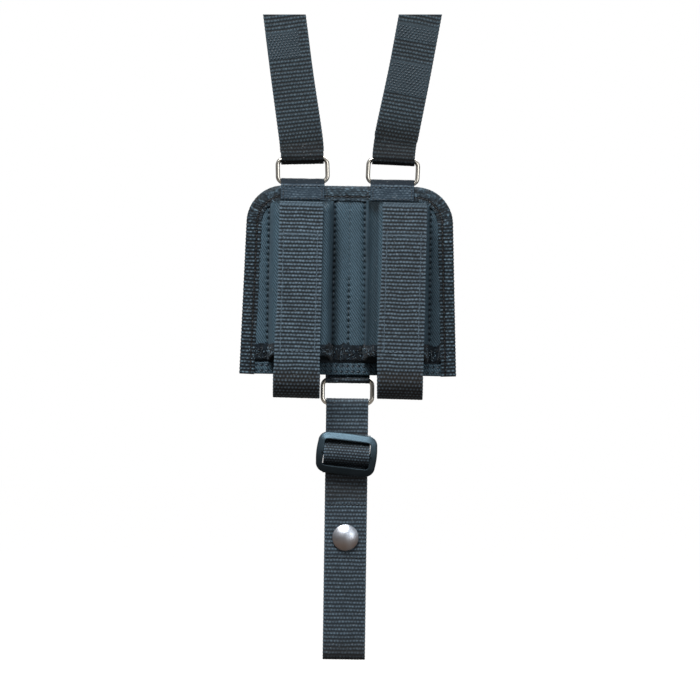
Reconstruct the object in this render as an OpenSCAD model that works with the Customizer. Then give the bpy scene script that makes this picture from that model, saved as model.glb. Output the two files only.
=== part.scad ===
// Twin narrow-pouch carrier panel hung on 25 mm webbing.
// Frame: +X to the wearer's left as seen from the front, +Z up, front faces -Y.
// The origin is the centre of the flat rear face of the panel.

/* [Panel] */
// Height of the panel
panel_h = 109.6; // [108:0.1:112]
// Width of the panel at its bottom edge
panel_w_bottom = 126; // [124:0.5:130]
// Width of the panel at its top edge, before the corners are rounded
panel_w_top = 118.6; // [116:0.2:122]
// Radius of the two upper corners
corner_r = 22; // [16:0.5:24]
// Width of the edge binding seen from the front
binding_w = 9.2; // [8:0.1:10]
// Height of the turned hem along the bottom edge
hem_h = 7; // [5:0.5:7.5]

/* [Pockets] */
// Distance from the middle of the panel to the middle of each pocket
pocket_x = 27.7; // [27:0.1:29]
// Width of each pocket where it is sewn to the panel
pocket_base_w = 38; // [36:0.5:39]
// Width of the front face of each pocket
pocket_face_w = 32; // [28:0.5:33]
// Depth of each pocket from the panel to its front face
pocket_d = 15.4; // [14:0.1:17]
// Height of the open lower end of the pockets above the bottom edge of the panel
pocket_open_z = 10.4; // [9:0.1:12]

/* [Webbing] */
// Width of the shoulder and belt webbing
web_w = 24.6; // [24:0.1:24.8]
// Width of the pocket flap webbing
flap_w = 25.5; // [24:0.1:26]
// Thickness of the webbing
web_t = 1.4; // [1.2:0.05:1.4]
// Lean of the left shoulder strap away from upright, degrees
left_lean = 7.9; // [4:0.1:9]
// Lean of the right shoulder strap away from upright, degrees
right_lean = 9.7; // [4:0.1:10]
// Height of the cut ends of the shoulder straps above the middle of the panel
strap_top = 154.6; // [150:0.1:200]
// Drop from the middle of the panel to the bottom of the belt loop
belt_bottom = 220.1; // [215:0.1:240]

/* [Hardware] */
// Wire diameter of the rectangular rings
wire_d = 2.5; // [2.2:0.1:2.6]
// Clear width inside each ring
ring_in_w = 26.2; // [26:0.1:27]
// Clear height inside each ring
ring_in_h = 11.2; // [10.5:0.1:12]
// Width of the adjuster slider
slider_w = 35; // [34:0.5:37]
// Height of the adjuster slider
slider_h = 24; // [23:0.5:25]
// Diameter of the snap cap
snap_d = 15.4; // [14:0.1:16]

/* [Hidden] */
$fn = 64;
gap = 0.05;
hh = panel_h / 2;
wb = panel_w_bottom / 2;
wt = panel_w_top / 2;
side_a = atan((wb - wt) / panel_h);

// Depths of the layers, from the rear face forwards (front is -Y)
tab_t = 0.8;
y_bind_back = -0.95;
y_sheet_back = -1.9;
y_core = -2.55;
y_core_front = -3.95;
y_board = -4.0;
y_cover = -5.05;
y_sheet = -5.7;
y_sheet_front = -6.5;
y_bind = -6.55;
y_bind_front = -7.7;
y_tab = -7.75;
edge_t = 1.2;

// Pockets, touch fastener tapes and flaps
z_pocket_top = hh - binding_w - 0.1;
z_pocket_low = -hh + pocket_open_z;
y_face = y_sheet_front - pocket_d;
y_loop = y_face - gap;
y_hook = y_loop - 1.0 - gap;
y_flap = y_hook - 1.0 - gap;
yc_flap = y_flap - web_t / 2;
yc_core = (y_core + y_core_front) / 2;
fold_r = (yc_core - yc_flap) / 2;
fold_y = yc_core - fold_r;
fold_z = -hh - 2.3;
flap_tilt = 0.8;
flap_x_left = -29.3;
flap_x_right = 30.1;
z_flap_top = hh - 10.4;
z_hook_top = 26.5;
z_hook_low = -41.5;

// Rings: the two upper ones hang in tabs at the top, the third below
ring_x = ring_in_w / 2 + wire_d / 2;
ring_z = ring_in_h / 2 + wire_d / 2;
bend_r = 3.6;
y_ring = -4.3;
z_ring_top = hh + 8.5;
x_ring_left = -27.5;
x_ring_right = 24.3;
ring_tilt = 2;
z_bar_low = z_ring_top - ring_z;
z_bar_high = z_ring_top + ring_z;
z_ring_drop = -hh - 9.5;
z_bar_tab = z_ring_drop + ring_z;
z_bar_drop = z_ring_drop - ring_z;

// Drop strap and adjuster
yc_drop = yc_core;
yc_loop_front = yc_drop - web_t - 0.1;
yc_loop_rear = yc_drop + web_t + 0.1;
slider_t = 3.4;
z_slider = z_bar_drop - 29.35;
bump_t = 1.25;
yc_bump = yc_loop_front - web_t / 2 - gap - bump_t / 2;
y_slider = yc_bump - bump_t / 2 - gap - slider_t / 2;
slider_tilt = 6;

// Belt loop
loop_r = 3.4;
loop_y = yc_drop + loop_r;
loop_z = -belt_bottom + loop_r + web_t / 2;
yc_tail = loop_y + loop_r;
z_snap = z_slider - 48.4;
z_tail_top = z_snap + 13.9;
z_patch_top = z_snap + 20.4;
z_patch_low = z_snap - 12.6;
post_d = 4;

// ---- shared shapes ----

// Panel outline set in by d, with its bottom edge at zb
function side_x(z) = wt + (hh - z) * (wb - wt) / panel_h;
function outline(d, zb) = let(
    r = corner_r, zc = hh - r, xc = side_x(zc) - r / cos(side_a), n = 14,
    xb = side_x(zb) - d / cos(side_a)) concat(
  [[-xb, zb], [xb, zb]],
  [for (i = [0:n]) let(a = side_a + (90 - side_a) * i / n)
    [xc + (r - d) * cos(a), zc + (r - d) * sin(a)]],
  [for (i = [0:n]) let(a = 90 + (90 - side_a) * i / n)
    [-xc + (r - d) * cos(a), zc + (r - d) * sin(a)]]);

// A flat layer parallel to the panel, from y_back forwards to y_front
module layer(y_back, y_front) {
  translate([0, y_back, 0]) rotate([90, 0, 0])
    linear_extrude(height = y_back - y_front) children();
}

module rect(x0, x1, z0, z1) {
  translate([x0, z0]) square([x1 - x0, z1 - z0]);
}

// A rectangle with rounded corners, centred
module round_rect(w, h, r) {
  union() {
    square([w - 2 * r, h], center = true);
    square([w, h - 2 * r], center = true);
    for (sx = [-1, 1], sz = [-1, 1])
      translate([sx * (w / 2 - r), sz * (h / 2 - r)]) circle(r = r);
  }
}

// A strip of constant thickness t along the points p, given as [y, z]
function seg_n(a, b) = let(d = b - a, l = norm(d)) [-d[1] / l, d[0] / l];
function vert_n(p, i) = let(
    n1 = i > 0 ? seg_n(p[i - 1], p[i]) : seg_n(p[0], p[1]),
    n2 = i < len(p) - 1 ? seg_n(p[i], p[i + 1]) : n1)
  (n1 + n2) / (1 + n1 * n2);
function strip(p, t) = concat(
  [for (i = [0:len(p) - 1]) p[i] + vert_n(p, i) * t / 2],
  [for (i = [len(p) - 1:-1:0]) p[i] - vert_n(p, i) * t / 2]);
function arc(cy, cz, r, a0, a1, n = 16) =
  [for (i = [0:n]) let(a = a0 + (a1 - a0) * i / n) [cy + r * cos(a), cz + r * sin(a)]];

module ribbon(p, t, w) {
  translate([-w / 2, 0, 0]) rotate([90, 0, 90])
    linear_extrude(height = w) polygon(strip(p, t));
}

// Seam line drawn as a thin raised cord from [x, z] a to b on the plane y
module seam(a, b, y, w = 0.5, t = 0.3) {
  l = norm(b - a);
  ang = atan2(b[1] - a[1], b[0] - a[0]);
  translate([a[0], y, a[1]]) rotate([0, -ang, 0])
    translate([0, -t, -w / 2]) cube([l, t, w]);
}

// Rectangular wire ring in the XZ plane, centred
module wire_ring() {
  sx = ring_x - bend_r;
  sz = ring_z - bend_r;
  union() {
    for (s = [-1, 1]) {
      translate([-sx, 0, s * ring_z]) rotate([0, 90, 0]) cylinder(d = wire_d, h = 2 * sx);
      translate([s * ring_x, 0, -sz]) cylinder(d = wire_d, h = 2 * sz);
    }
    for (q = [0:3])
      translate([(q == 0 || q == 3 ? 1 : -1) * sx, 0, (q < 2 ? 1 : -1) * sz])
        rotate([90, -90 * q, 0])
          rotate_extrude(angle = 90) translate([bend_r, 0]) circle(d = wire_d, $fn = 32);
  }
}

// ---- panel body ----

module back_cover() {
  color([0.17, 0.20, 0.23]) difference() {
    union() {
      layer(0, y_sheet_back) polygon(outline(10.6, -hh + 10.4));
      layer(y_sheet_back, y_core + gap) polygon(outline(edge_t + gap, -hh));
    }
    layer(-0.6, y_core - 1) polygon(outline(11.4, -hh + 11.2));
  }
}

module foam_pad() {
  color([0.30, 0.31, 0.32]) union() {
    layer(-0.6 - gap, y_core - 0.5) polygon(outline(11.5, -hh + 17));
    layer(y_core, y_core_front) polygon(outline(3, -hh + 17));
  }
}

module stiffener_board() {
  color([0.12, 0.12, 0.13]) layer(y_board, y_cover + gap) polygon(outline(3, -hh + 2));
}

module front_cover() {
  color([0.21, 0.27, 0.31]) layer(y_cover, y_sheet + gap) polygon(outline(edge_t + gap, -hh));
}

module pocket_prism(cx, inset, y0, z0, z1) {
  b = pocket_base_w / 2 - inset;
  f = pocket_face_w / 2 - inset;
  yf = y_face + inset;
  intersection() {
    translate([cx, 0, z0]) linear_extrude(height = z1 - z0)
      polygon([[-b, y0], [-b, y_sheet_front], [-f, yf], [f, yf], [b, y_sheet_front], [b, y0]]);
    // the upper outer corner follows the inner edge of the binding
    layer(y0 + 1, y_face - 1) polygon(outline(binding_w + 0.1 + inset, z0 - 1));
  }
}

module pocket_sheet() {
  color([0.22, 0.29, 0.33]) difference() {
    union() {
      layer(y_sheet, y_sheet_front) polygon(outline(edge_t + 1, z_pocket_low));
      for (s = [-1, 1]) pocket_prism(s * pocket_x, 0, y_sheet - 0.4, z_pocket_low, z_pocket_top);
    }
    for (s = [-1, 1])
      pocket_prism(s * pocket_x, 0.8, y_sheet + 1, z_pocket_low - 1, z_pocket_top - 0.8);
  }
}

// Overlocked tape round the open lower end of the pocket sheet
module pocket_lip_tape() {
  z0 = z_pocket_low - 2.2;
  color([0.10, 0.12, 0.14]) difference() {
    union() {
      layer(y_sheet, y_sheet_front) polygon(
        [[-side_x(z0) + edge_t + 1, z0], [side_x(z0) - edge_t - 1, z0],
         [side_x(z0) - edge_t - 1, z_pocket_low - gap], [-side_x(z0) + edge_t + 1, z_pocket_low - gap]]);
      for (s = [-1, 1]) pocket_prism(s * pocket_x, 0, y_sheet - 0.4, z0, z_pocket_low - gap);
    }
    for (s = [-1, 1]) pocket_prism(s * pocket_x, 0.8, y_sheet + 1, z0 - 1, z_pocket_low + 1);
  }
}

module frame_2d(w) {
  difference() { polygon(outline(0, -hh)); polygon(outline(w, -hh - 1)); }
}

module edge_binding() {
  color([0.20, 0.24, 0.27]) union() {
    layer(y_bind, y_bind_front) frame_2d(binding_w);
    layer(y_bind_back, y_bind_front) frame_2d(edge_t);
    layer(y_bind_back, y_sheet_back + gap) frame_2d(binding_w);
  }
}

module bottom_hem() {
  z1 = -hh + hem_h;
  color([0.20, 0.26, 0.30]) layer(y_sheet, y_sheet_front) polygon(
    [[-wb + edge_t + 1, -hh], [wb - edge_t - 1, -hh],
     [side_x(z1) - edge_t - 1, z1], [-side_x(z1) + edge_t + 1, z1]]);
}

// Tape folded over the lower bar of an upper ring, sewn front and rear to the edge
module ring_tab(cx) {
  f = y_tab - tab_t / 2 - y_ring;
  b = -gap - tab_t / 2 - y_ring;
  z = z_bar_low;
  half = [[3.85, z - 1.5], [3.65, z - 0.4], [2.95, z + 0.9], [2.1, z + 2.0], [1.1, z + 2.6]];
  p = concat([[f, hh - 9]], [for (q = half) [-q[0], q[1]]], [[0, z + 2.75]],
    [for (i = [len(half) - 1:-1:0]) half[i]], [[b, hh - 8]]);
  color([0.23, 0.29, 0.34]) translate([cx, y_ring, 0]) ribbon(p, tab_t, 24.8);
}

module left_ring_tab() { ring_tab(x_ring_left); }
module right_ring_tab() { ring_tab(x_ring_right); }

// Tape folded round the top bar of the bottom ring, both legs inside the bottom edge
module bottom_ring_tab() {
  z = z_bar_tab;
  t = 0.65;
  p = concat([[0.375, -hh + 8], [0.375, -hh - 0.3], [1.9, z + 0.65]],
    arc(0, z, 2.0, 0, -180, 12), [[-1.9, z + 0.65], [-0.375, -hh - 0.3], [-0.375, -hh + 8]]);
  color([0.16, 0.19, 0.22]) translate([0, yc_core, 0]) ribbon(p, t, 24.2);
}

module loop_tape(cx) {
  color([0.09, 0.10, 0.11]) layer(y_loop, y_loop - 1.0) rect(cx - 11, cx + 11, z_pocket_low + 2, z_pocket_top - 5);
}
module left_loop_tape() { loop_tape(flap_x_left); }
module right_loop_tape() { loop_tape(flap_x_right); }

// ---- pocket flaps ----

module flap_place(cx) {
  translate([cx, 0, fold_z]) rotate([0, flap_tilt, 0]) translate([0, 0, -fold_z]) children();
}

module flap_anchor(cx) {
  color([0.15, 0.17, 0.19]) flap_place(cx)
    ribbon(concat([[yc_core, -hh + 13]], arc(fold_y, fold_z, fold_r, 0, -88.5)), web_t, flap_w);
}
module left_flap_anchor() { flap_anchor(flap_x_left); }
module right_flap_anchor() { flap_anchor(flap_x_right); }

module flap_strap(cx) {
  color([0.24, 0.29, 0.33]) flap_place(cx)
    ribbon(concat(arc(fold_y, fold_z, fold_r, -90, -180), [[yc_flap, z_flap_top]]), web_t, flap_w);
}
module left_flap_strap() { flap_strap(flap_x_left); }
module right_flap_strap() { flap_strap(flap_x_right); }

module hook_tape(cx) {
  color([0.08, 0.09, 0.10]) flap_place(cx)
    layer(y_hook, y_hook - 1.0) rect(-10.5, 10.5, z_hook_low, z_hook_top);
}
module left_hook_tape() { hook_tape(flap_x_left); }
module right_hook_tape() { hook_tape(flap_x_right); }

module flap_stitching(cx) {
  y = y_flap - web_t - 0.02;
  color([0.42, 0.50, 0.56]) flap_place(cx) union() {
    for (s = [-1, 1]) seam([s * 9.8, z_hook_low], [s * 9.8, z_hook_top - 1], y);
    seam([-9.8, z_hook_top - 1], [9.8, z_hook_top - 1], y);
    seam([-9.8, z_hook_low], [9.8, z_hook_low], y);
  }
}
module left_flap_stitching() { flap_stitching(flap_x_left); }
module right_flap_stitching() { flap_stitching(flap_x_right); }

// ---- sewing threads on the panel ----

module pocket_stitching() {
  y = y_sheet_front - 0.02;
  z0 = z_pocket_low + 0.5;
  z1 = z_pocket_top - 0.3;
  color([0.06, 0.07, 0.08]) union() {
    for (s = [-1, 1]) {
      seam([s * (pocket_x - pocket_base_w / 2 - 1), z0], [s * (pocket_x - pocket_base_w / 2 - 1), z1], y);
      seam([s * (pocket_x + pocket_base_w / 2 + 1), z0], [s * (pocket_x + pocket_base_w / 2 + 1), z1 - 4.6], y);
    }
    seam([0, z0], [0, z1 - 18], y);
  }
}

module binding_stitching() {
  y = y_bind_front - 0.02;
  color([0.08, 0.09, 0.10]) layer(y, y - 0.3) difference() {
    polygon(outline(6.4, -hh + 0.5));
    polygon(outline(6.9, -hh - 1));
    for (cx = [x_ring_left, x_ring_right]) rect(cx - 13.5, cx + 13.5, 40, 60);
  }
}

module hem_stitching() {
  y = y_sheet_front - 0.02;
  color([0.06, 0.07, 0.08]) union()
    for (z = [-hh + 2, -hh + 5.2]) seam([-wb + 11, z], [wb - 11, z], y);
}

module tab_stitching() {
  y = y_tab - tab_t - 0.02;
  color([0.30, 0.36, 0.41]) union()
    for (cx = [x_ring_left, x_ring_right]) {
      for (s = [-1, 1]) seam([cx + s * 11.2, hh - 8.2], [cx + s * 11.2, hh - 1], y);
      for (z = [hh - 8.2, hh - 5.8, hh - 3.4, hh - 1]) seam([cx - 11.2, z], [cx + 11.2, z], y);
    }
}

// ---- rings and shoulder straps ----

module left_ring() {
  color([0.75, 0.74, 0.71]) translate([x_ring_left, y_ring, z_bar_low]) rotate([0, -ring_tilt, 0])
    translate([0, 0, ring_z]) wire_ring();
}
module right_ring() {
  color([0.75, 0.74, 0.71]) translate([x_ring_right, y_ring, z_bar_low]) rotate([0, ring_tilt, 0])
    translate([0, 0, ring_z]) wire_ring();
}
module bottom_ring() {
  color([0.75, 0.74, 0.71]) translate([0, yc_core, z_ring_drop]) wire_ring();
}

// Webbing folded round the upper bar of a ring, with its rear leg sewn to the front one.
// side is -1 for the left strap and 1 for the right one.
module shoulder_place(cx, side) {
  translate([cx, y_ring, z_bar_low]) rotate([0, side * ring_tilt, 0])
    translate([0, 0, 2 * ring_z]) children();
}

module shoulder_strap(cx, side, lean, rear_h) {
  r = wire_d / 2 + 0.85 + web_t / 2;
  c = web_t / 2 + 0.04;
  top = (strap_top - z_bar_high) / cos(ring_tilt) + 4;
  sh = tan(lean - ring_tilt);
  p = concat([[-c, top], [-c, 9], [-1.7, 5], [-r, 1.2]], arc(0, 0, r, 180, 360, 14),
    [[r, 1.2], [1.7, 5], [c, 9], [c, rear_h]]);
  color([0.21, 0.25, 0.28]) intersection() {
    shoulder_place(cx, side) intersection() {
      ribbon(p, web_t, 120);
      translate([0, 20, 0]) rotate([90, 0, 0]) linear_extrude(height = 40) polygon(
        [[-web_w / 2 - side * sh * 5, -5], [web_w / 2 - side * sh * 5, -5],
         [web_w / 2 + side * sh * top, top], [-web_w / 2 + side * sh * top, top]]);
    }
    translate([-150, -50, 0]) cube([300, 100, strap_top]);
  }
}
module left_shoulder_strap() { shoulder_strap(x_ring_left, -1, left_lean, 74); }
module right_shoulder_strap() { shoulder_strap(x_ring_right, 1, right_lean, 57); }

// Rows of stitches that hold the rear leg of a shoulder strap
module strap_rows(cx, side, lean, z0, z1, x0, x1) {
  sh = tan(lean - ring_tilt);
  y = -web_t - 0.04 - 0.02;
  n = floor((z1 - z0) / 2.2);
  shoulder_place(cx, side)
    for (i = [0:n]) let(z = z0 + i * (z1 - z0) / n, dx = side * sh * z)
      seam([x0 + dx, z], [x1 + dx, z], y);
}
module left_shoulder_stitching() {
  color([0.28, 0.34, 0.38]) strap_rows(x_ring_left, -1, left_lean, 58, 73, -11, 7);
}
module right_shoulder_stitching() {
  color([0.28, 0.34, 0.38]) union() {
    strap_rows(x_ring_right, 1, right_lean, 39, 56, -11, 11);
    strap_rows(x_ring_right, 1, right_lean, 70, 78, -11, 11);
  }
}

// ---- drop strap, adjuster and belt loop ----

// Webbing looped round the lower bar of the bottom ring
module adjuster_loop() {
  r = wire_d / 2 + 0.4 + web_t / 2;
  p = concat([[yc_loop_front, z_bar_drop - 32.8], [yc_loop_front, z_bar_drop - 8], [yc_drop - 2.1, z_bar_drop - 4.4], [yc_drop - r, z_bar_drop - 1]],
    arc(yc_drop, z_bar_drop, r, 180, 0, 14),
    [[yc_drop + r, z_bar_drop - 1], [yc_drop + 2.1, z_bar_drop - 4.4], [yc_loop_rear, z_bar_drop - 8], [yc_loop_rear, z_bar_drop - 41]]);
  color([0.20, 0.23, 0.26]) ribbon(p, web_t, 24.2);
}

module slider_place() {
  translate([0, y_slider, z_slider]) rotate([0, slider_tilt, 0]) children();
}

module adjuster_slider() {
  color([0.16, 0.20, 0.23]) slider_place() union() {
    translate([0, slider_t / 2, 0]) rotate([90, 0, 0]) linear_extrude(height = slider_t) difference() {
      round_rect(slider_w, slider_h, 4.5);
      translate([0, 0.2]) round_rect(slider_w - 8, slider_h - 9, 1.4);
    }
    translate([-slider_w / 2 + 2, 0, 0]) rotate([0, 90, 0]) cylinder(d = 3, h = slider_w - 4);
  }
}

// The run of webbing that passes over the centre bar of the slider
module slider_webbing() {
  c = yc_bump - y_slider;
  half = [[c, 11.5], [c, 6.9], [1.4, 6.0], [0, 5.2], [-1.5, 4.1], [-2.4, 2.3]];
  p = concat(half, [[-2.7, 0]], [for (i = [len(half) - 1:-1:0]) [half[i][0], -half[i][1]]]);
  color([0.19, 0.22, 0.25]) slider_place() ribbon(p, bump_t, web_w + 1.6);
}

module snap_hole(y0, y1) {
  translate([0, y0, z_snap]) rotate([90, 0, 0]) cylinder(d = post_d + 0.2, h = y0 - y1);
}

module belt_strap() {
  color([0.23, 0.26, 0.29]) difference() {
    ribbon(concat([[yc_drop, z_slider + 5.5]], arc(loop_y, loop_z, loop_r, 180, 266)), web_t, web_w);
    snap_hole(0, -6);
  }
}

module snap_patch() {
  y = yc_drop + web_t / 2 + gap;
  color([0.20, 0.23, 0.26]) difference() {
    layer(y + 1.4, y) rect(-11.8, 11.8, z_patch_low, z_patch_top);
    snap_hole(2, -6);
  }
}

module belt_strap_stitching() {
  y = yc_drop - web_t / 2 - 0.02;
  color([0.06, 0.07, 0.08]) union()
    for (z = [z_patch_top - 1.2, z_patch_low + 1.2]) seam([-11.3, z], [11.3, z], y);
}

// Domed cap with its post through the strap and patch
module snap_cap() {
  y = yc_drop - web_t / 2 - gap;
  r = snap_d / 2;
  h = 3.2;
  big = (r * r + h * h) / (2 * h);
  color([0.62, 0.62, 0.63]) translate([0, y, z_snap]) rotate([90, 0, 0]) union() {
    rotate_extrude() intersection() {
      translate([0, 0.7 + h - big]) circle(r = big, $fn = 180);
      translate([0, 0.7]) square([r, h]);
    }
    cylinder(r = r, h = 0.75);
    translate([0, 0, -3.2]) cylinder(d = post_d, h = 3.6);
  }
}

module snap_socket() {
  y = yc_drop + web_t / 2 + gap + 1.4 + gap;
  color([0.60, 0.60, 0.62]) translate([0, y, z_snap]) rotate([-90, 0, 0]) difference() {
    union() { cylinder(d = 12.6, h = 1.2); cylinder(d = 9.4, h = 2.7); }
    translate([0, 0, -1]) cylinder(d = post_d + 0.2, h = 2);
    translate([0, 0, 0.5]) cylinder(d = 6.4, h = 3);
  }
}

module belt_loop_tail() {
  color([0.19, 0.22, 0.25]) difference() {
    ribbon(concat(arc(loop_y, loop_z, loop_r, 270, 360), [[yc_tail, z_tail_top]]), web_t, web_w - 0.2);
    snap_hole(8, 1);
  }
}

module snap_stud() {
  y = yc_tail - web_t / 2 - gap;
  color([0.60, 0.60, 0.62]) translate([0, y, z_snap]) rotate([90, 0, 0]) union() {
    cylinder(d = 11.4, h = 0.7);
    cylinder(d = 5, h = 2.2);
    translate([0, 0, 2.1]) cylinder(d = 5.8, h = 0.9);
  }
}

module snap_stud_back() {
  y = yc_tail + web_t / 2 + gap;
  color([0.60, 0.60, 0.62]) translate([0, y, z_snap]) rotate([-90, 0, 0]) difference() {
    union() { cylinder(d = 11, h = 0.9); translate([0, 0, -web_t - gap]) cylinder(d = post_d, h = web_t + 0.5); }
    translate([0, 0, -3]) cylinder(d = 2.4, h = 6);
  }
}

back_cover();
foam_pad();
stiffener_board();
front_cover();
pocket_sheet();
pocket_lip_tape();
edge_binding();
bottom_hem();
left_ring_tab();
right_ring_tab();
bottom_ring_tab();
left_loop_tape();
right_loop_tape();
left_flap_anchor();
right_flap_anchor();
pocket_stitching();
binding_stitching();
hem_stitching();
tab_stitching();
left_flap_strap();
left_hook_tape();
left_flap_stitching();
right_flap_strap();
right_hook_tape();
right_flap_stitching();
left_ring();
right_ring();
bottom_ring();
left_shoulder_strap();
left_shoulder_stitching();
right_shoulder_strap();
right_shoulder_stitching();
adjuster_loop();
adjuster_slider();
slider_webbing();
belt_strap();
snap_patch();
belt_strap_stitching();
snap_cap();
snap_socket();
belt_loop_tail();
snap_stud();
snap_stud_back();
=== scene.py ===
import bpy
import math
import numpy as np
from mathutils import Vector, Matrix


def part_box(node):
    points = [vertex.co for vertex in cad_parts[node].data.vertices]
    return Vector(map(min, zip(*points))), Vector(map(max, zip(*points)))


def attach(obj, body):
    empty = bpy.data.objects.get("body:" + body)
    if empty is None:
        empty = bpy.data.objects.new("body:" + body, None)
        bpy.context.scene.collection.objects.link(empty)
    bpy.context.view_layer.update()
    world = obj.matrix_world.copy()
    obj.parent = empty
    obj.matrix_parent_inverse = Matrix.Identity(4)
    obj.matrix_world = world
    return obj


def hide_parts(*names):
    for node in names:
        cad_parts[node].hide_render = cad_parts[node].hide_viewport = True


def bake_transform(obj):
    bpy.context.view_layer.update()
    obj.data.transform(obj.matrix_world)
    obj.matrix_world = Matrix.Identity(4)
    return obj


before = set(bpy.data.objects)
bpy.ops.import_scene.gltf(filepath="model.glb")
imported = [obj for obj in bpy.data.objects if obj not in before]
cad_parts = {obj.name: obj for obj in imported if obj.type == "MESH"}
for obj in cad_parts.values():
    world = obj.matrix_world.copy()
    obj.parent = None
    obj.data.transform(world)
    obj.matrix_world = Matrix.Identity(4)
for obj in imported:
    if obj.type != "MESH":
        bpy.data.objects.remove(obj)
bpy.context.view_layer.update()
MM = 0.001
RNG = np.random.default_rng(7)


def nbox(node):
    a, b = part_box(node)
    return np.array(a) / MM, np.array(b) / MM


# ------------------------------------------------------------------ sizes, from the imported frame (mm)
_b0, _b1 = nbox("edge_binding")
HH = float(_b1[2])                      # half height of the panel
WB = float(_b1[0])                      # half width at its bottom edge
WT = WB - 3.7                           # half width at its top edge
CR = 22.0                               # upper corner radius
SIDE_A = math.atan((WB - WT) / (2 * HH))
Y_BIND_F = float(_b0[1])
Y_BIND_B = float(_b1[1])
_s0, _s1 = nbox("pocket_sheet")
Z_LIP = float(_s0[2])
Z_PTOP = HH - 9.3
Y_FACE = float(_s0[1])
Y_SHEET = -6.5
YC_CORE = -3.25
_f0, _f1 = nbox("left_flap_strap")
YC_FLAP = float(_f0[1]) + 0.7
FOLD_R = (YC_CORE - YC_FLAP) / 2
FOLD_Y = YC_CORE - FOLD_R
FOLD_Z = -HH - 2.3
Z_FLAP_TOP = HH - 10.4
FLAPS = {"left": -29.3, "right": 30.1}
FLAP_TILT = math.radians(0.8)
POCKET_X = 27.7
Y_RING = -4.3
RING_X, RING_Z, BEND_R, WIRE_R = 14.35, 6.85, 3.6, 1.25
Z_RING_TOP = HH + 8.5
Z_BAR_LOW = Z_RING_TOP - RING_Z
Z_BAR_HIGH = Z_RING_TOP + RING_Z
TILT = {"left": -math.radians(2), "right": math.radians(2)}
X_RING = {}
for _sn in ("left", "right"):
    _r0, _r1 = nbox(_sn + "_ring")
    X_RING[_sn] = float(_r0[0] + _r1[0]) / 2 - RING_Z * math.sin(TILT[_sn])
LEAN = {"left": math.radians(7.9), "right": math.radians(9.7)}
STRAP_TOP = float(nbox("left_shoulder_strap")[1][2])
Z_RING_DROP = -HH - 9.5
Z_BAR_TAB = Z_RING_DROP + RING_Z
Z_BAR_DROP = Z_RING_DROP - RING_Z
_a0, _a1 = nbox("adjuster_slider")
Z_SLIDER = float(_a0[2] + _a1[2]) / 2
Y_SLIDER = float(_a0[1] + _a1[1]) / 2
_c0, _c1 = nbox("snap_cap")
Z_SNAP = float(_c0[2] + _c1[2]) / 2
SNAP_R = float(_c1[0] - _c0[0]) / 2
BELT_BOTTOM = float(nbox("belt_strap")[0][2])
LOOP_R = 3.4
LOOP_Y = YC_CORE + LOOP_R
LOOP_Z = BELT_BOTTOM + LOOP_R + 0.7
YC_TAIL = LOOP_Y + LOOP_R


# ------------------------------------------------------------------ mesh helpers
def build(name, V, F, attrs=None, smooth=True, mat=None):
    """V in mm (n,3). F is an (m,4) int array of quads; a triangle repeats its last index. attrs: name -> per-vertex floats or 3-vectors."""
    V = np.ascontiguousarray(V, dtype=np.float64)
    F = np.asarray(F, dtype=np.int64)
    me = bpy.data.meshes.new(name)
    tri = F[:, 3] == F[:, 2]
    loops = np.where(tri, 3, 4)
    starts = np.concatenate([[0], np.cumsum(loops)[:-1]])
    flat = F.ravel()
    keep = np.ones(len(flat), bool)
    keep[np.nonzero(tri)[0] * 4 + 3] = False
    flat = flat[keep]
    # outward normals: flip when the signed volume is negative
    a, b, c, d = V[F[:, 0]], V[F[:, 1]], V[F[:, 2]], V[F[:, 3]]
    vol = (np.einsum("ij,ij->i", a, np.cross(b, c)) + np.einsum("ij,ij->i", a, np.cross(c, d))).sum()
    if vol < 0:
        F = F[:, ::-1].copy()
        t = F[:, 0] == F[:, 1]
        F[t] = np.roll(F[t], -1, axis=1)
        flat = F.ravel()[keep]
    me.vertices.add(len(V))
    me.vertices.foreach_set("co", (V * MM).astype(np.float32).ravel())
    me.loops.add(len(flat))
    me.loops.foreach_set("vertex_index", flat.astype(np.int32))
    me.polygons.add(len(F))
    me.polygons.foreach_set("loop_start", starts.astype(np.int32))
    me.polygons.foreach_set("loop_total", loops.astype(np.int32))
    me.update(calc_edges=True)
    me.validate(verbose=False)
    me.polygons.foreach_set("use_smooth", np.full(len(me.polygons), smooth, dtype=bool))
    for k, val in (attrs or {}).items():
        val = np.asarray(val, dtype=np.float32)
        if val.ndim == 1:
            at = me.attributes.new(k, "FLOAT", "POINT")
            at.data.foreach_set("value", val)
        else:
            at = me.attributes.new(k, "FLOAT_VECTOR", "POINT")
            at.data.foreach_set("vector", val.ravel())
    ob = bpy.data.objects.new(name, me)
    bpy.context.scene.collection.objects.link(ob)
    if mat is not None:
        me.materials.append(mat)
    return ob


def tube_faces(ns, nc, cap=True):
    """Quads of a closed tube of ns rings with nc points, the caps made of strips between opposite points."""
    i = np.arange(ns - 1)[:, None] * nc
    j = np.arange(nc)[None, :]
    k = (j + 1) % nc
    f = np.stack([i + j, i + k, i + nc + k, i + nc + j], -1).reshape(-1, 4)
    out = [f]
    if cap:
        h = nc // 2
        for base, flip in ((0, True), ((ns - 1) * nc, False)):
            q = []
            for a in range(h - 1):
                q.append([base + a, base + a + 1, base + nc - 2 - a, base + nc - 1 - a])
            q = np.array(q)
            # the end strips collapse to triangles where the points meet
            if flip:
                q = q[:, ::-1]
            out.append(q)
    return np.concatenate(out)


def join(parts):
    """Joins [(V, F, attrs)] into one set."""
    V, F, A, n = [], [], {}, 0
    for v, f, a in parts:
        V.append(v)
        F.append(np.asarray(f) + n)
        for k, x in a.items():
            A.setdefault(k, []).append(x)
        n += len(v)
    return np.concatenate(V), np.concatenate(F), {k: np.concatenate(x) for k, x in A.items()}


def smoothstep(a, b, x):
    t = np.clip((x - a) / (b - a), 0, 1)
    return t * t * (3 - 2 * t)


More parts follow.
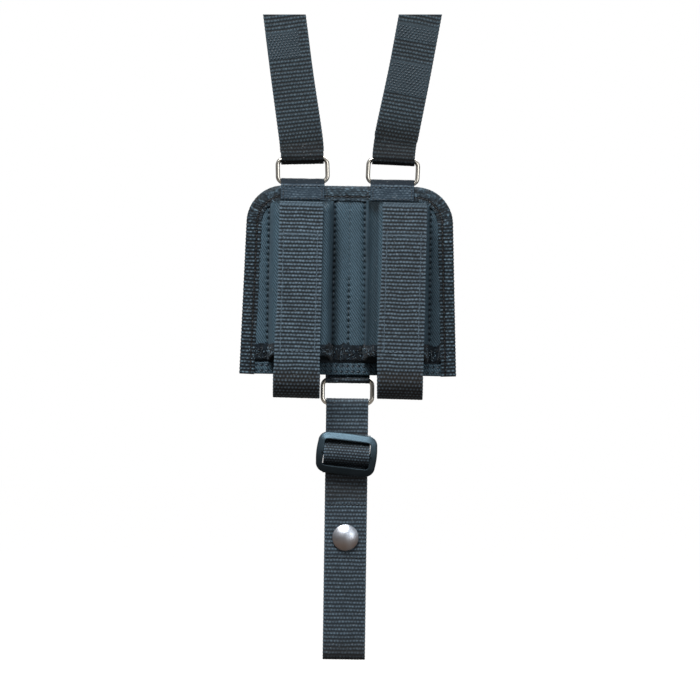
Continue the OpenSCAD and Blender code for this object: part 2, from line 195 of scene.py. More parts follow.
def vnoise(p, seed=0):
    """Smooth value noise, p is (n, d) with d 1 to 3; result about -1..1."""
    p = np.asarray(p, float)
    if p.ndim == 1:
        p = p[:, None]
    d = p.shape[1]
    i0 = np.floor(p).astype(np.int64)
    f = p - i0
    f = f * f * (3 - 2 * f)
    out = np.zeros(len(p))
    for corner in range(2 ** d):
        idx = np.full(len(p), seed * 7919 + 17, dtype=np.int64)
        w = np.ones(len(p))
        for k in range(d):
            bit = (corner >> k) & 1
            idx = (idx * 1103515245 + (i0[:, k] + bit) * 374761393 + 12345) & 0x7FFFFFFF
            idx ^= idx >> 13
            w = w * (f[:, k] if bit else 1 - f[:, k])
        idx = (idx * 1274126177) & 0x7FFFFFFF
        idx ^= idx >> 15
        out += w * ((idx % 20011) / 10005.5 - 1)
    return out


def resample(P, step):
    """Dense polyline (n, k) resampled at about equal steps, with the arc length."""
    P = np.asarray(P, float)
    L = np.concatenate([[0], np.cumsum(np.linalg.norm(np.diff(P, axis=0), axis=1))])
    n = max(2, int(round(L[-1] / step)) + 1)
    s = np.linspace(0, L[-1], n)
    return np.stack([np.interp(s, L, P[:, k]) for k in range(P.shape[1])], 1), s


def catmull(P, sub=8):
    """A smooth curve through the points P (n, k)."""
    P = np.asarray(P, float)
    Q = np.concatenate([[2 * P[0] - P[1]], P, [2 * P[-1] - P[-2]]])
    out = []
    t = np.linspace(0, 1, sub, endpoint=False)[:, None]
    for i in range(1, len(Q) - 2):
        a, b, c, d = Q[i - 1], Q[i], Q[i + 1], Q[i + 2]
        out.append(0.5 * ((2 * b) + (c - a) * t + (2 * a - 5 * b + 4 * c - d) * t ** 2 + (3 * b - a - 3 * c + d) * t ** 3))
    out.append(P[-1:])
    return np.concatenate(out)


def arc_pts(cy, cz, r, a0, a1, n=40):
    a = np.radians(np.linspace(a0, a1, n))
    return np.stack([cy + r * np.cos(a), cz + r * np.sin(a)], 1)


def smooth_path(P, step, rounds=3):
    """Polyline with softened corners, evenly sampled."""
    P, _ = resample(P, 0.25)
    k = max(1, int(rounds / 0.25))
    pad = np.concatenate([2 * P[0] - P[k:0:-1], P, 2 * P[-1] - P[-2:-k - 2:-1]])
    c = np.cumsum(np.concatenate([np.zeros((1, P.shape[1])), pad]), axis=0)
    w = 2 * k + 1
    Q = (c[w:] - c[:-w]) / w
    Q[0], Q[-1] = P[0], P[-1]
    return resample(Q, step)


# ------------------------------------------------------------------ materials
def new_mat(name):
    m = bpy.data.materials.new(name)
    m.use_nodes = True
    nt = m.node_tree
    bsdf = nt.nodes["Principled BSDF"]
    return m, nt, bsdf


def srgb(r, g, b):
    def f(c):
        c /= 255
        return c / 12.92 if c <= 0.04045 else ((c + 0.055) / 1.055) ** 2.4
    return (f(r), f(g), f(b), 1)


def node(nt, kind, **kw):
    n = nt.nodes.new(kind)
    for k, v in kw.items():
        setattr(n, k, v)
    return n


def math_node(nt, op, a, b=None, clamp=False):
    n = node(nt, "ShaderNodeMath", operation=op, use_clamp=clamp)
    for i, x in enumerate((a, b)):
        if x is None:
            continue
        if isinstance(x, (int, float)):
            n.inputs[i].default_value = x
        else:
            nt.links.new(x, n.inputs[i])
    return n.outputs[0]


def mix_col(nt, fac, a, b, blend="MIX"):
    n = node(nt, "ShaderNodeMix", data_type="RGBA", blend_type=blend)
    for sock, x in ((n.inputs[0], fac), (n.inputs[6], a), (n.inputs[7], b)):
        if isinstance(x, (int, float)):
            sock.default_value = x
        elif isinstance(x, tuple):
            sock.default_value = x
        else:
            nt.links.new(x, sock)
    return n.outputs[2]


def attr_out(nt, name, which="Fac"):
    n = node(nt, "ShaderNodeAttribute")
    n.attribute_name = name
    return n.outputs[which]


def obj_coord(nt):
    return node(nt, "ShaderNodeTexCoord").outputs["Object"]


def noise_out(nt, scale, detail=3.0, rough=0.6, vec=None, which=0):
    n = node(nt, "ShaderNodeTexNoise")
    n.inputs["Scale"].default_value = scale
    n.inputs["Detail"].default_value = detail
    n.inputs["Roughness"].default_value = rough
    nt.links.new(vec if vec is not None else obj_coord(nt), n.inputs["Vector"])
    return n.outputs[which]


def ramp(nt, fac, stops):
    n = node(nt, "ShaderNodeValToRGB")
    cr = n.color_ramp
    while len(cr.elements) > len(stops):
        cr.elements.remove(cr.elements[-1])
    while len(cr.elements) < len(stops):
        cr.elements.new(0.5)
    for e, (p, c) in zip(cr.elements, stops):
        e.position = p
        e.color = c
    nt.links.new(fac, n.inputs[0])
    return n.outputs[0]


def bump(nt, height, strength, dist, normal=None):
    n = node(nt, "ShaderNodeBump")
    n.inputs["Strength"].default_value = strength
    n.inputs["Distance"].default_value = dist
    nt.links.new(height, n.inputs["Height"])
    if normal is not None:
        nt.links.new(normal, n.inputs["Normal"])
    return n.outputs[0]


def webbing_mat(name, dark, mid, bright, rough=0.55, sheen=0.06, fuzz=1.0, stops=(0.30, 0.66, 0.95), low=(0, 0, 0, 1)):
    """Woven webbing: the mesh carries the weave, and its 'cav' attribute (0 in the gaps, 1 on the crowns) and 'wuv' (mm
    along and across) drive the colour and the fibre lines. 'cav' paints shade in the gaps and sheen on the crowns;
    'tone' paints shade, mixing the colour towards 'low'.
    """
    m, nt, b = new_mat(name)
    cav = attr_out(nt, "cav")
    wuv = attr_out(nt, "wuv", "Vector")
    sep = node(nt, "ShaderNodeSeparateXYZ")
    nt.links.new(wuv, sep.inputs[0])
    nz = noise_out(nt, 2600, 2.0, 0.7)
    big = noise_out(nt, 55, 3.0, 0.6)
    # painted shade and sheen: colour by the weave's height, dark in the gaps and bright on the crowns, broken up by
    # fibre noise
    f = math_node(nt, "ADD", cav, math_node(nt, "MULTIPLY", math_node(nt, "SUBTRACT", nz, 0.5), 0.55 * fuzz))
    col = ramp(nt, f, [(stops[0], dark), (stops[1], mid), (stops[2], bright)])
    tone = math_node(nt, "MULTIPLY_ADD", big, 0.5)
    nt.nodes[-1].inputs[2].default_value = 0.75
    comb = node(nt, "ShaderNodeCombineColor")
    for i in range(3):
        nt.links.new(tone, comb.inputs[i])
    col = mix_col(nt, 1.0, col, comb.outputs[0], "MULTIPLY")
    # painted shade: where 'tone' is below 1 the colour goes towards 'low', and specular and sheen are turned down with
    # it
    painted_shade = attr_out(nt, "tone")
    dk = mix_col(nt, painted_shade, low, col)
    # rare pale lint
    lint = math_node(nt, "GREATER_THAN", noise_out(nt, 900, 1.0, 0.3), 0.74)
    dk = mix_col(nt, math_node(nt, "MULTIPLY", lint, 0.16), dk, srgb(150, 155, 158))
    nt.links.new(dk, b.inputs["Base Color"])
    # fibre lines along the warp
    fib = math_node(nt, "SINE", math_node(nt, "MULTIPLY", sep.outputs[0], 2 * math.pi / 0.36))
    fib = math_node(nt, "MULTIPLY_ADD", fib, 0.25)
    nt.links.new(nz, nt.nodes[-1].inputs[2])
    nt.links.new(bump(nt, fib, 0.5, 0.00012), b.inputs["Normal"])
    r = math_node(nt, "MULTIPLY_ADD", cav, -0.12)
    nt.nodes[-1].inputs[2].default_value = rough + 0.12
    nt.links.new(r, b.inputs["Roughness"])
    nt.links.new(math_node(nt, "MULTIPLY", painted_shade, 0.22, clamp=True), b.inputs["Specular IOR Level"])
    nt.links.new(math_node(nt, "MULTIPLY", painted_shade, sheen, clamp=True), b.inputs["Sheen Weight"])
    b.inputs["Sheen Roughness"].default_value = 0.4
    b.inputs["Sheen Tint"].default_value = srgb(170, 190, 205)
    return m


def cloth_mat(name, base, hi, pitch=1.25, angle=-57, contrast=1.0, rough=0.62, sheen=0.07):
    """Twill cloth: fine diagonal lines in the sheet's own millimetres ('wuv'), crossed by shorter yarn breaks."""
    m, nt, b = new_mat(name)
    wuv = attr_out(nt, "wuv", "Vector")
    sep = node(nt, "ShaderNodeSeparateXYZ")
    nt.links.new(wuv, sep.inputs[0])
    ca, sa = math.cos(math.radians(angle)), math.sin(math.radians(angle))
    wob = math_node(nt, "MULTIPLY", math_node(nt, "SUBTRACT", noise_out(nt, 260, 2.0, 0.6), 0.5), 0.9)
    d = math_node(nt, "ADD", math_node(nt, "ADD", math_node(nt, "MULTIPLY", sep.outputs[0], sa), math_node(nt, "MULTIPLY", sep.outputs[1], -ca)), wob)
    e = math_node(nt, "ADD", math_node(nt, "MULTIPLY", sep.outputs[0], ca), math_node(nt, "MULTIPLY", sep.outputs[1], sa))
    line = math_node(nt, "SINE", math_node(nt, "MULTIPLY", d, 2 * math.pi / pitch))
    brk = math_node(nt, "SINE", math_node(nt, "ADD", math_node(nt, "MULTIPLY", e, 2 * math.pi / 0.7), math_node(nt, "MULTIPLY", d, 2 * math.pi / pitch * 0.5)))
    h = math_node(nt, "MULTIPLY_ADD", brk, 0.35)
    nt.links.new(line, nt.nodes[-1].inputs[2])
    nz = noise_out(nt, 1800, 3.0, 0.7)
    f = math_node(nt, "ADD", math_node(nt, "MULTIPLY", h, 0.30 * contrast), nz)
    col = mix_col(nt, math_node(nt, "MULTIPLY", f, 0.95, clamp=True), base, hi)
    big = noise_out(nt, 40, 4.0, 0.6)
    tone = math_node(nt, "MULTIPLY_ADD", big, 0.5)
    nt.nodes[-1].inputs[2].default_value = 0.75
    comb = node(nt, "ShaderNodeCombineColor")
    for i in range(3):
        nt.links.new(tone, comb.inputs[i])
    col = mix_col(nt, 1.0, col, comb.outputs[0], "MULTIPLY")
    # painted shade: where 'cav' is low (needle holes, valleys, gaps) the colour goes towards near black and specular
    # and sheen are turned down
    cav = attr_out(nt, "cav")
    col = mix_col(nt, cav, srgb(13, 14, 14), col)
    lint = math_node(nt, "GREATER_THAN", noise_out(nt, 1100, 1.0, 0.3), 0.755)
    col = mix_col(nt, math_node(nt, "MULTIPLY", lint, 0.18), col, srgb(160, 165, 168))
    nt.links.new(col, b.inputs["Base Color"])
    nt.links.new(bump(nt, h, 0.55, 0.00010), b.inputs["Normal"])
    b.inputs["Roughness"].default_value = rough
    nt.links.new(math_node(nt, "MULTIPLY", cav, 0.2, clamp=True), b.inputs["Specular IOR Level"])
    nt.links.new(math_node(nt, "MULTIPLY", cav, sheen, clamp=True), b.inputs["Sheen Weight"])
    b.inputs["Sheen Roughness"].default_value = 0.45
    b.inputs["Sheen Tint"].default_value = srgb(165, 188, 205)
    return m


def thread_mat(name, col, rough=0.5):
    m, nt, b = new_mat(name)
    nz = noise_out(nt, 3000, 2.0, 0.6)
    c = mix_col(nt, nz, tuple(x * 0.55 for x in col[:3]) + (1,), tuple(min(1, x * 1.5) for x in col[:3]) + (1,))
    tcomb = node(nt, "ShaderNodeCombineColor")
    tn = attr_out(nt, "tone")
    for i in range(3):
        nt.links.new(tn, tcomb.inputs[i])
    c = mix_col(nt, 1.0, c, tcomb.outputs[0], "MULTIPLY")
    nt.links.new(c, b.inputs["Base Color"])
    nt.links.new(bump(nt, nz, 0.4, 0.0001), b.inputs["Normal"])
    b.inputs["Roughness"].default_value = rough
    b.inputs["Specular IOR Level"].default_value = 0.5
    b.inputs["Sheen Weight"].default_value = 0.04
    return m


def plain_cloth_mat(name, col, scale=1500):
    m, nt, b = new_mat(name)
    nz = noise_out(nt, scale, 4.0, 0.7)
    big = noise_out(nt, 60, 3.0, 0.5)
    c = mix_col(nt, nz, tuple(x * 0.55 for x in col[:3]) + (1,), tuple(min(1, x * 1.4) for x in col[:3]) + (1,))
    c = mix_col(nt, math_node(nt, "MULTIPLY", big, 0.5), c, tuple(x * 0.6 for x in col[:3]) + (1,))
    nt.links.new(c, b.inputs["Base Color"])
    nt.links.new(bump(nt, nz, 0.5, 0.00015), b.inputs["Normal"])
    b.inputs["Roughness"].default_value = 0.85
    b.inputs["Specular IOR Level"].default_value = 0.2
    b.inputs["Sheen Weight"].default_value = 0.05
    return m


def steel_mat(name, base=(0.66, 0.65, 0.62, 1), rough=0.16, scratch=0.5, worn=True, painted_low_reflection=None):
    m, nt, b = new_mat(name)
    nz = noise_out(nt, 700, 4.0, 0.6)
    fine = noise_out(nt, 5200, 2.0, 0.5)
    c = mix_col(nt, nz, tuple(x * 0.82 for x in base[:3]) + (1,), base)
    if painted_low_reflection:
        # painted reflection: browner where 'tone' is low
        c = mix_col(nt, attr_out(nt, "tone"), painted_low_reflection, c)
    if worn:
        spots = math_node(nt, "GREATER_THAN", noise_out(nt, 1300, 2.0, 0.5), 0.66)
        c = mix_col(nt, math_node(nt, "MULTIPLY", spots, 0.35), c, srgb(120, 104, 82))
    nt.links.new(c, b.inputs["Base Color"])
    b.inputs["Metallic"].default_value = 1.0
    r = math_node(nt, "MULTIPLY_ADD", nz, 0.14)
    nt.nodes[-1].inputs[2].default_value = rough
    nt.links.new(r, b.inputs["Roughness"])
    nt.links.new(bump(nt, fine, 0.12 * scratch, 0.00008), b.inputs["Normal"])
    return m


def plastic_mat(name):
    m, nt, b = new_mat(name)
    nz = noise_out(nt, 1500, 3.0, 0.5)
    big = noise_out(nt, 160, 3.0, 0.6)
    c = mix_col(nt, big, srgb(13, 15, 16), srgb(24, 27, 29))
    edge = attr_out(nt, "cav")
    c = mix_col(nt, math_node(nt, "MULTIPLY", edge, 0.25), c, srgb(50, 60, 68))
    nt.links.new(c, b.inputs["Base Color"])
    r = math_node(nt, "MULTIPLY_ADD", nz, 0.16)
    nt.nodes[-1].inputs[2].default_value = 0.42
    nt.links.new(r, b.inputs["Roughness"])
    nt.links.new(bump(nt, nz, 0.22, 0.00012), b.inputs["Normal"])
    # painted reflection: the specular strength follows 'tone', strongest on the upper bar where the light from above is
    # reflected, and the blue specular tint stands for the colour of that light
    b.inputs["IOR"].default_value = 1.95
    nt.links.new(math_node(nt, "MULTIPLY", attr_out(nt, "tone"), 1.0, clamp=True), b.inputs["Specular IOR Level"])
    b.inputs["Specular Tint"].default_value = srgb(168, 208, 232)
    return m


def fuzz_mat(name, col):
    m, nt, b = new_mat(name)
    nz = noise_out(nt, 3500, 5.0, 0.8)
    c = mix_col(nt, nz, tuple(x * 0.3 for x in col[:3]) + (1,), tuple(min(1, x * 1.9) for x in col[:3]) + (1,))
    cav = attr_out(nt, "cav")
    c = mix_col(nt, cav, tuple(x * 0.25 for x in col[:3]) + (1,), c)
    nt.links.new(c, b.inputs["Base Color"])
    nt.links.new(bump(nt, nz, 0.9, 0.0003), b.inputs["Normal"])
    b.inputs["Roughness"].default_value = 0.9
    b.inputs["Specular IOR Level"].default_value = 0.15
    b.inputs["Sheen Weight"].default_value = 0.08
    return m


M = {
    # 'low' is the colour each webbing's painted shade goes towards; the default is black
    "flap": webbing_mat("flap_webbing", srgb(8, 11, 13), srgb(43, 55, 64), srgb(98, 119, 133), stops=(0.14, 0.50, 0.96), low=srgb(42, 37, 33)),
    "shoulder": webbing_mat("shoulder_webbing", srgb(9, 12, 14), srgb(32, 43, 50), srgb(67, 84, 94), stops=(0.12, 0.50, 0.96), low=srgb(20, 18, 16)),
    "drop": webbing_mat("drop_webbing", srgb(24, 30, 35), srgb(48, 59, 68), srgb(92, 112, 126), stops=(0.10, 0.52, 0.98), low=srgb(40, 36, 32)),
    "run": webbing_mat("slider_run_webbing", srgb(22, 27, 31), srgb(47, 58, 67), srgb(94, 114, 128), stops=(0.12, 0.52, 0.97), low=srgb(20, 19, 18)),
    "binding": webbing_mat("binding_tape", srgb(6, 10, 13), srgb(36, 50, 59), srgb(104, 128, 143), fuzz=1.2, stops=(0.24, 0.60, 0.95)),
    "twill": cloth_mat("pocket_twill", srgb(14, 23, 28), srgb(74, 99, 114), pitch=1.22, contrast=0.92),
    "tab": webbing_mat("tab_tape", srgb(7, 11, 15), srgb(44, 58, 70), srgb(104, 124, 138), fuzz=0.7, stops=(0.10, 0.56, 0.95)),
    # painted light: the bottom tab's tape is coloured brighter than the upper tabs' tape to make up for the shade it
    # lies in
    "tab_brightened": webbing_mat("bottom_tab_tape_brightened", srgb(10, 14, 16), srgb(56, 68, 78), srgb(138, 160, 173), fuzz=1.0, stops=(0.18, 0.58, 0.95)),
    "cover": cloth_mat("cover_cloth", srgb(22, 28, 33), srgb(44, 55, 63), pitch=0.9, angle=-50, contrast=0.5),
    "lip": fuzz_mat("overlock_core", srgb(24, 34, 42)),
    "lip_thread": thread_mat("overlock_thread", srgb(52, 67, 77)),
    "thread_dark": thread_mat("dark_thread", srgb(14, 17, 20)),
    "thread_mid": thread_mat("mid_thread", srgb(52, 64, 74)),
    "thread_patch": thread_mat("patch_thread", srgb(36, 47, 55)),
    "thread_seam": thread_mat("seam_thread", srgb(40, 53, 62)),
    "thread_flap": thread_mat("flap_thread", srgb(62, 78, 90)),
    "thread_light": thread_mat("light_thread", srgb(78, 96, 108)),
    "ring": steel_mat("ring_steel", base=(0.80, 0.755, 0.665, 1), rough=0.17, scratch=0.12, worn=False),
    "snap": steel_mat("snap_steel", base=(0.60, 0.65, 0.72, 1), rough=0.32, scratch=0.8, painted_low_reflection=(0.31, 0.25, 0.225, 1)),
    "plastic": plastic_mat("slider_plastic"),
    "loop": fuzz_mat("loop_tape", srgb(26, 29, 32)),
    "hook": fuzz_mat("hook_tape", srgb(18, 20, 22)),
    "foam": plain_cloth_mat("foam_grey", srgb(60, 62, 64), 2500),
    "board": plain_cloth_mat("board_black", srgb(34, 35, 37), 400),
}


# ------------------------------------------------------------------ woven webbing
def weave(u, v, pu, pv, seed=0, jitter=1.0, dash=0.30):
    """Height 0..1 of the weave at u across and v along, in mm: ribs across the webbing, each broken into crowns that step by half a pitch from rib to rib."""
    vv = v + jitter * (0.16 * vnoise(np.stack([u * 0.12, v * 0.09], 1), seed + 1) + 0.07 * vnoise(np.stack([u * 0.5, v * 0.5], 1), seed + 2))
    uu = u + jitter * 0.14 * vnoise(np.stack([u * 0.35, v * 0.4], 1), seed + 3)
    j = np.floor(vv / pv)
    f = vv / pv - j
    ridge = 0.20 + 0.80 * np.abs(np.sin(np.pi * f)) ** 1.9
    c = 0.5 + 0.5 * np.cos(2 * np.pi * (uu / pu + 0.5 * (j % 2)))
    lvl = 0.86 + 0.14 * vnoise(np.stack([np.floor(uu / pu * 2), j], 1), seed + 4)
    return ridge * ((1 - dash) + dash * c ** 0.7) * lvl


def webbing(name, path, width, t=1.4, pv=2.2, pu=2.1, amp=0.36, mat=None, seed=1, step=6, du=0.42,
            xfun=None, rowfun=None, soft=None, edge_wave=0.12, jitter=1.0, tone=None, wfun=None, post=None, vphase=0.0, dash=0.30):
    """A closed woven strip. path is (n, 2) of [y, z]; its left-hand side seen along +X is the outer face.
    xfun(z) gives the sideways offset of the middle, rowfun(z) the turn of the rows. soft(u, v) 0..1 flattens the weave."""
    P, s = smooth_path(path, pv / step, rounds=0.5)
    T = np.gradient(P, axis=0)
    T /= np.linalg.norm(T, axis=1)[:, None]
    N = np.stack([-T[:, 1], T[:, 0]], 1)          # X cross T, in (y, z)
    hw = width / 2
    nu = max(8, int(round((width - 0.8) / du)) + 1)
    uf = np.linspace(-hw + 0.4, hw - 0.4, nu)
    # cross-section: front face left to right, right edge, back face right to left, left edge
    u = np.concatenate([uf, [hw - 0.08, hw, hw - 0.08], uf[::-1], [-hw + 0.08, -hw, -hw + 0.08]])
    side = np.concatenate([np.full(nu, 1.0), [0.62, 0, -0.62], np.full(nu, -1.0), [-0.62, 0, 0.62]])
    face = np.abs(side) == 1.0
    nc, ns = len(u), len(P)
    U = np.tile(u, ns)
    S = np.tile(side, ns)
    Vv = np.repeat(s, nc) + vphase
    W = weave(U, Vv + np.where(S < 0, pv, 0), pu, pv, seed, jitter, dash(U, Vv) if callable(dash) else dash)
    # near the edges the ribs wrap round, so the crowns even out
    e = smoothstep(hw - 1.6, hw - 0.2, np.abs(U))
    ridge = np.abs(np.sin(np.pi * (Vv / pv))) ** 0.8
    W = W * (1 - e) + ridge * 0.82 * e
    if soft is not None:
        k = soft(U, Vv)
        fine = 0.70 + 0.16 * np.sin(2 * np.pi * U / 1.9 + Vv * 2.1) * np.sin(2 * np.pi * Vv / 1.5)
        W = W * (1 - k) + fine * k
    h = t / 2 - amp * (1 - W)
    base = t / 2 - amp
    off = np.where(np.abs(S) == 1, h * S, S * (base + amp * W * 0.9))
    out = np.where(np.abs(S) < 1, 1.0, 0.0)
    uo = U + np.sign(U) * out * edge_wave * (ridge - 0.6) * 1.6
    Py, Pz = np.repeat(P[:, 0], nc), np.repeat(P[:, 1], nc)
    Ny, Nz = np.repeat(N[:, 0], nc), np.repeat(N[:, 1], nc)
    if wfun is not None:
        k, sh = wfun(Vv)
        uo = uo * k + sh
    x0 = xfun(Pz) if xfun is not None else 0 * Pz
    rot = rowfun(Pz) if rowfun is not None else 0 * Pz
    X = x0 + uo * np.cos(rot)
    Y = Py + Ny * off
    Z = Pz + Nz * off + uo * np.sin(rot)
    V = np.stack([X, Y, Z], 1)
    if post is not None:
        V = post(V, U, Vv)
    F = tube_faces(ns, nc)
    # 'tone' carries painted shade for the material, 1 where there is none
    tn = np.ones(len(V)) if tone is None else tone(U, Vv, Pz)
    ob = build(name, V, F, {"cav": np.clip(W, 0, 1), "wuv": np.stack([U, Vv, S], 1), "tone": tn}, mat=mat)
    return ob


# ------------------------------------------------------------------ stitches
def capsule(n_len=5, n_round=6):
    """A unit stitch along +X from -0.5 to 0.5, radius 1 in Y (width) and Z (height)."""
    xs = np.array([-0.5, -0.42, -0.2, 0.2, 0.42, 0.5])
    rr = np.array([0.02, 0.62, 1.0, 1.0, 0.62, 0.02])
    a = np.linspace(0, 2 * np.pi, n_round, endpoint=False)
    V = np.stack([np.repeat(xs, n_round), np.outer(rr, np.cos(a)).ravel(), np.outer(rr, np.sin(a)).ravel()], 1)
    F = tube_faces(len(xs), n_round, cap=False)
    # close the ends with fans of quads
    caps = []
    for base in (0, (len(xs) - 1) * n_round):
        idx = base + np.arange(n_round)
        caps.append([idx[0], idx[1], idx[2], idx[3]])
        caps.append([idx[3], idx[4], idx[5], idx[0]])
    caps = np.array(caps)
    caps[:2] = caps[:2, ::-1]
    return V, np.concatenate([F, caps])


CAPV, CAPF = capsule()


def stitches(name, items, mat, width=0.55, height=0.32, seed=3):
    """items: list of (a, b, normal) end points in mm. Each becomes one thread stitch lying on the cloth, its middle proud and its ends sunk."""
    rng = np.random.default_rng(seed)
    Vs, Fs = [], []
    for k, (a, b, n) in enumerate(items):
        a, b, n = np.asarray(a, float), np.asarray(b, float), np.asarray(n, float)
        d = b - a
        L = np.linalg.norm(d)
        t = d / L
        n = n - t * (n @ t)
        n /= np.linalg.norm(n)
        w = np.cross(n, t)
        ang = rng.normal(0, 0.05)
        t2 = t * math.cos(ang) + w * math.sin(ang)
        w2 = np.cross(n, t2)
        V = CAPV.copy()
        lift = 0.16 * (1 - (2 * V[:, 0]) ** 2) - 0.10
        P = (a + b) / 2 + np.outer(V[:, 0] * L, t2) + np.outer(V[:, 1] * width / 2, w2) + np.outer(V[:, 2] * height / 2 + lift, n)
        Vs.append(P)
        Fs.append(CAPF + k * len(CAPV))
    V, F = np.concatenate(Vs), np.concatenate(Fs)
    return build(name, V, F, {"cav": np.ones(len(V)), "tone": np.ones(len(V))}, mat=mat)


def stitch_line(a, b, normal, pitch=3.45, length=2.3):
    """Stitches from a to b at a pitch, each shorter than the pitch, so holes show between them."""
    a, b = np.asarray(a, float), np.asarray(b, float)
    L = np.linalg.norm(b - a)
    n = max(1, int(L // pitch))
    out = []
    t = (b - a) / L
    for i in range(n):
        c = a + t * (i + 0.5) * L / n
        out.append((c - t * length / 2, c + t * length / 2, normal))
    return out


# ------------------------------------------------------------------ panel outline
def side_x(z):
    return WT + (HH - z) * (WB - WT) / (2 * HH)


def outline_curve(step=0.42):
    """The panel's outer edge from the bottom left corner, up, over and down to the bottom right, as points (x, z), inward normals and arc length."""
    zc = HH - CR
    xc = side_x(zc) - CR / math.cos(SIDE_A)
    pts = [[-WB, -HH]]
    a = np.linspace(math.pi - SIDE_A, math.pi / 2, 60)
    pts += [[-xc + CR * math.cos(t), zc + CR * math.sin(t)] for t in a]
    a = np.linspace(math.pi / 2, SIDE_A, 60)
    pts += [[xc + CR * math.cos(t), zc + CR * math.sin(t)] for t in a]
    pts += [[WB, -HH]]
    P, s = resample(pts, step)
    T = np.gradient(P, axis=0)
    T /= np.linalg.norm(T, axis=1)[:, None]
    N = np.stack([T[:, 1], -T[:, 0]], 1)      # to the right of the direction of travel: inwards
    return P, N, s


def corner_weight(P):
    """1 in the two upper corners, 0 on the straights."""
    zc = HH - CR
    return smoothstep(zc - 4, zc + 4, P[:, 1]) * smoothstep(WT - CR - 6, WT - CR + 4, np.abs(P[:, 0]))


def edge_binding():
    P, N, s = outline_curve(0.43)
    bw = 9.1
    yf, yb = Y_BIND_F + 0.55, Y_BIND_B - 0.45
    prof = np.array([[bw, yf + 0.15], [bw - 2, yf], [4, yf - 0.02], [1.6, yf + 0.05], [0.75, yf + 0.75], [0.55, yf + 2.2],
                     [0.55, yb - 2.0], [0.8, yb - 0.6], [1.8, yb - 0.02], [4, yb], [bw - 0.2, yb]])
    C, cs = resample(catmull(prof, 10), 0.43)
    Tc = np.gradient(C, axis=0)
    Tc /= np.linalg.norm(Tc, axis=1)[:, None]
    Nc = np.stack([-Tc[:, 1], Tc[:, 0]], 1)
    # the outer side of the tape is away from the panel
    if Nc[len(C) // 2, 0] > 0:
        Nc = -Nc
    t = 1.0
    nf = len(C)
    ns = len(P)
    cu = np.concatenate([cs, cs[::-1]])
    side = np.concatenate([np.ones(nf), -np.ones(nf)])
    Cd = np.concatenate([C[:, 0], C[::-1, 0]])
    Cy = np.concatenate([C[:, 1], C[::-1, 1]])
    Nd = np.concatenate([Nc[:, 0], Nc[::-1, 0]])
    Ny = np.concatenate([Nc[:, 1], Nc[::-1, 1]])
    nc = len(cu)
    U, S = np.tile(cu, ns), np.tile(side, ns)
    Vv = np.repeat(s, nc)
    cw = np.repeat(corner_weight(P), nc)
    top = np.repeat(smoothstep(HH - 9, HH - 3, P[:, 1]), nc)
    d = np.tile(Cd, ns)
    Wv = weave(U + 0.9 * cw * vnoise(np.stack([U * 0.5, Vv * 0.5], 1), 21), Vv + 1.3 * cw * vnoise(np.stack([U * 0.33, Vv * 0.33], 1), 22), 2.3, 2.08, 5, 1.2)
    Wt = weave(Vv + 1.2 * vnoise(np.stack([U * 0.4, Vv * 0.3], 1), 27), U + 0.5 * vnoise(np.stack([U * 0.3, Vv * 0.22], 1), 28), 2.8, 1.36, 6, 1.9, 0.62)
    chaos = 0.5 + 0.5 * vnoise(np.stack([U * 0.9, Vv * 0.6], 1), 23)
    tw = np.clip(top - 0.35 * cw, 0, 1)
    Wv = Wv * (1 - tw) + (0.38 + 0.62 * Wt) * tw
    gather = np.clip(0.62 * cw + 0.42 * top, 0, 0.75)
    Wv = Wv * (1 - gather) + (0.20 + 0.80 * chaos) * gather * (0.45 + 0.55 * Wv)
    # seam line pulls the tape in
    seam = np.exp(-((d - 6.55) / 0.55) ** 2)
    amp = 0.38
    off = t / 2 - amp * (1 - Wv) - 0.16 * seam
    off = np.where(S > 0, off, -(t / 2 - 0.12))
    big = 0.22 * vnoise(np.stack([Vv * 0.12, U * 0.15], 1), 24) + 0.30 * cw * vnoise(np.stack([Vv * 0.45, U * 0.22], 1), 25)
    D = d + np.tile(Nd, ns) * off
    Y = np.tile(Cy, ns) + np.tile(Ny, ns) * off + big * np.where(np.tile(Cy, ns) < -4.3, -0.6, 0.0)
    D = D + np.where(d > bw - 1.2, 0.25 * vnoise(np.stack([Vv * 0.3, 0 * Vv], 1), 26), 0)
    Px, Pz = np.repeat(P[:, 0], nc), np.repeat(P[:, 1], nc)
    Nx, Nz = np.repeat(N[:, 0], nc), np.repeat(N[:, 1], nc)
    V = np.stack([Px + Nx * D, Y, Pz + Nz * D], 1)
    F = tube_faces(ns, nc)
    # painted shade along the seam groove; the back face is set to a flat 0.4, and 'tone' is a little lower on the
    # straight sides than in the upper corners and along the top
    cav = np.where(S > 0, np.clip(Wv - 0.5 * seam, 0, 1), 0.4)
    ob = build("edge_binding_tape", V, F, {"cav": cav, "wuv": np.stack([U, Vv, S], 1), "tone": 0.86 + 0.14 * np.clip(cw + top, 0, 1)}, mat=M["binding"])
    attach(ob, "panel")
    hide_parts("edge_binding")
    # stitches along the seam line, except under the ring tabs
    items = []
    dist = 0.0
    pitch = 3.3
    n = int(s[-1] // pitch)
    for k in range(1, n):
        q = k * pitch
        for sgn in (0,):
            px, pz = np.interp(q, s, P[:, 0]), np.interp(q, s, P[:, 1])
            nx, nz = np.interp(q, s, N[:, 0]), np.interp(q, s, N[:, 1])
            tx, tz = -nz, nx
            cx, cz = px + nx * 6.55, pz + nz * 6.55
            if pz > HH - 2 and (abs(cx - X_RING["left"]) < 13.8 or abs(cx - X_RING["right"]) < 13.8):
                continue
            y = Y_BIND_F + 0.10
            items.append(((cx - tx * 1.1, y, cz - tz * 1.1), (cx + tx * 1.1, y, cz + tz * 1.1), (0, -1, 0)))
    st = stitches("binding_stitches", items, M["thread_dark"], width=0.46, height=0.34, seed=5)
    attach(st, "panel")
    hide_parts("binding_stitching")


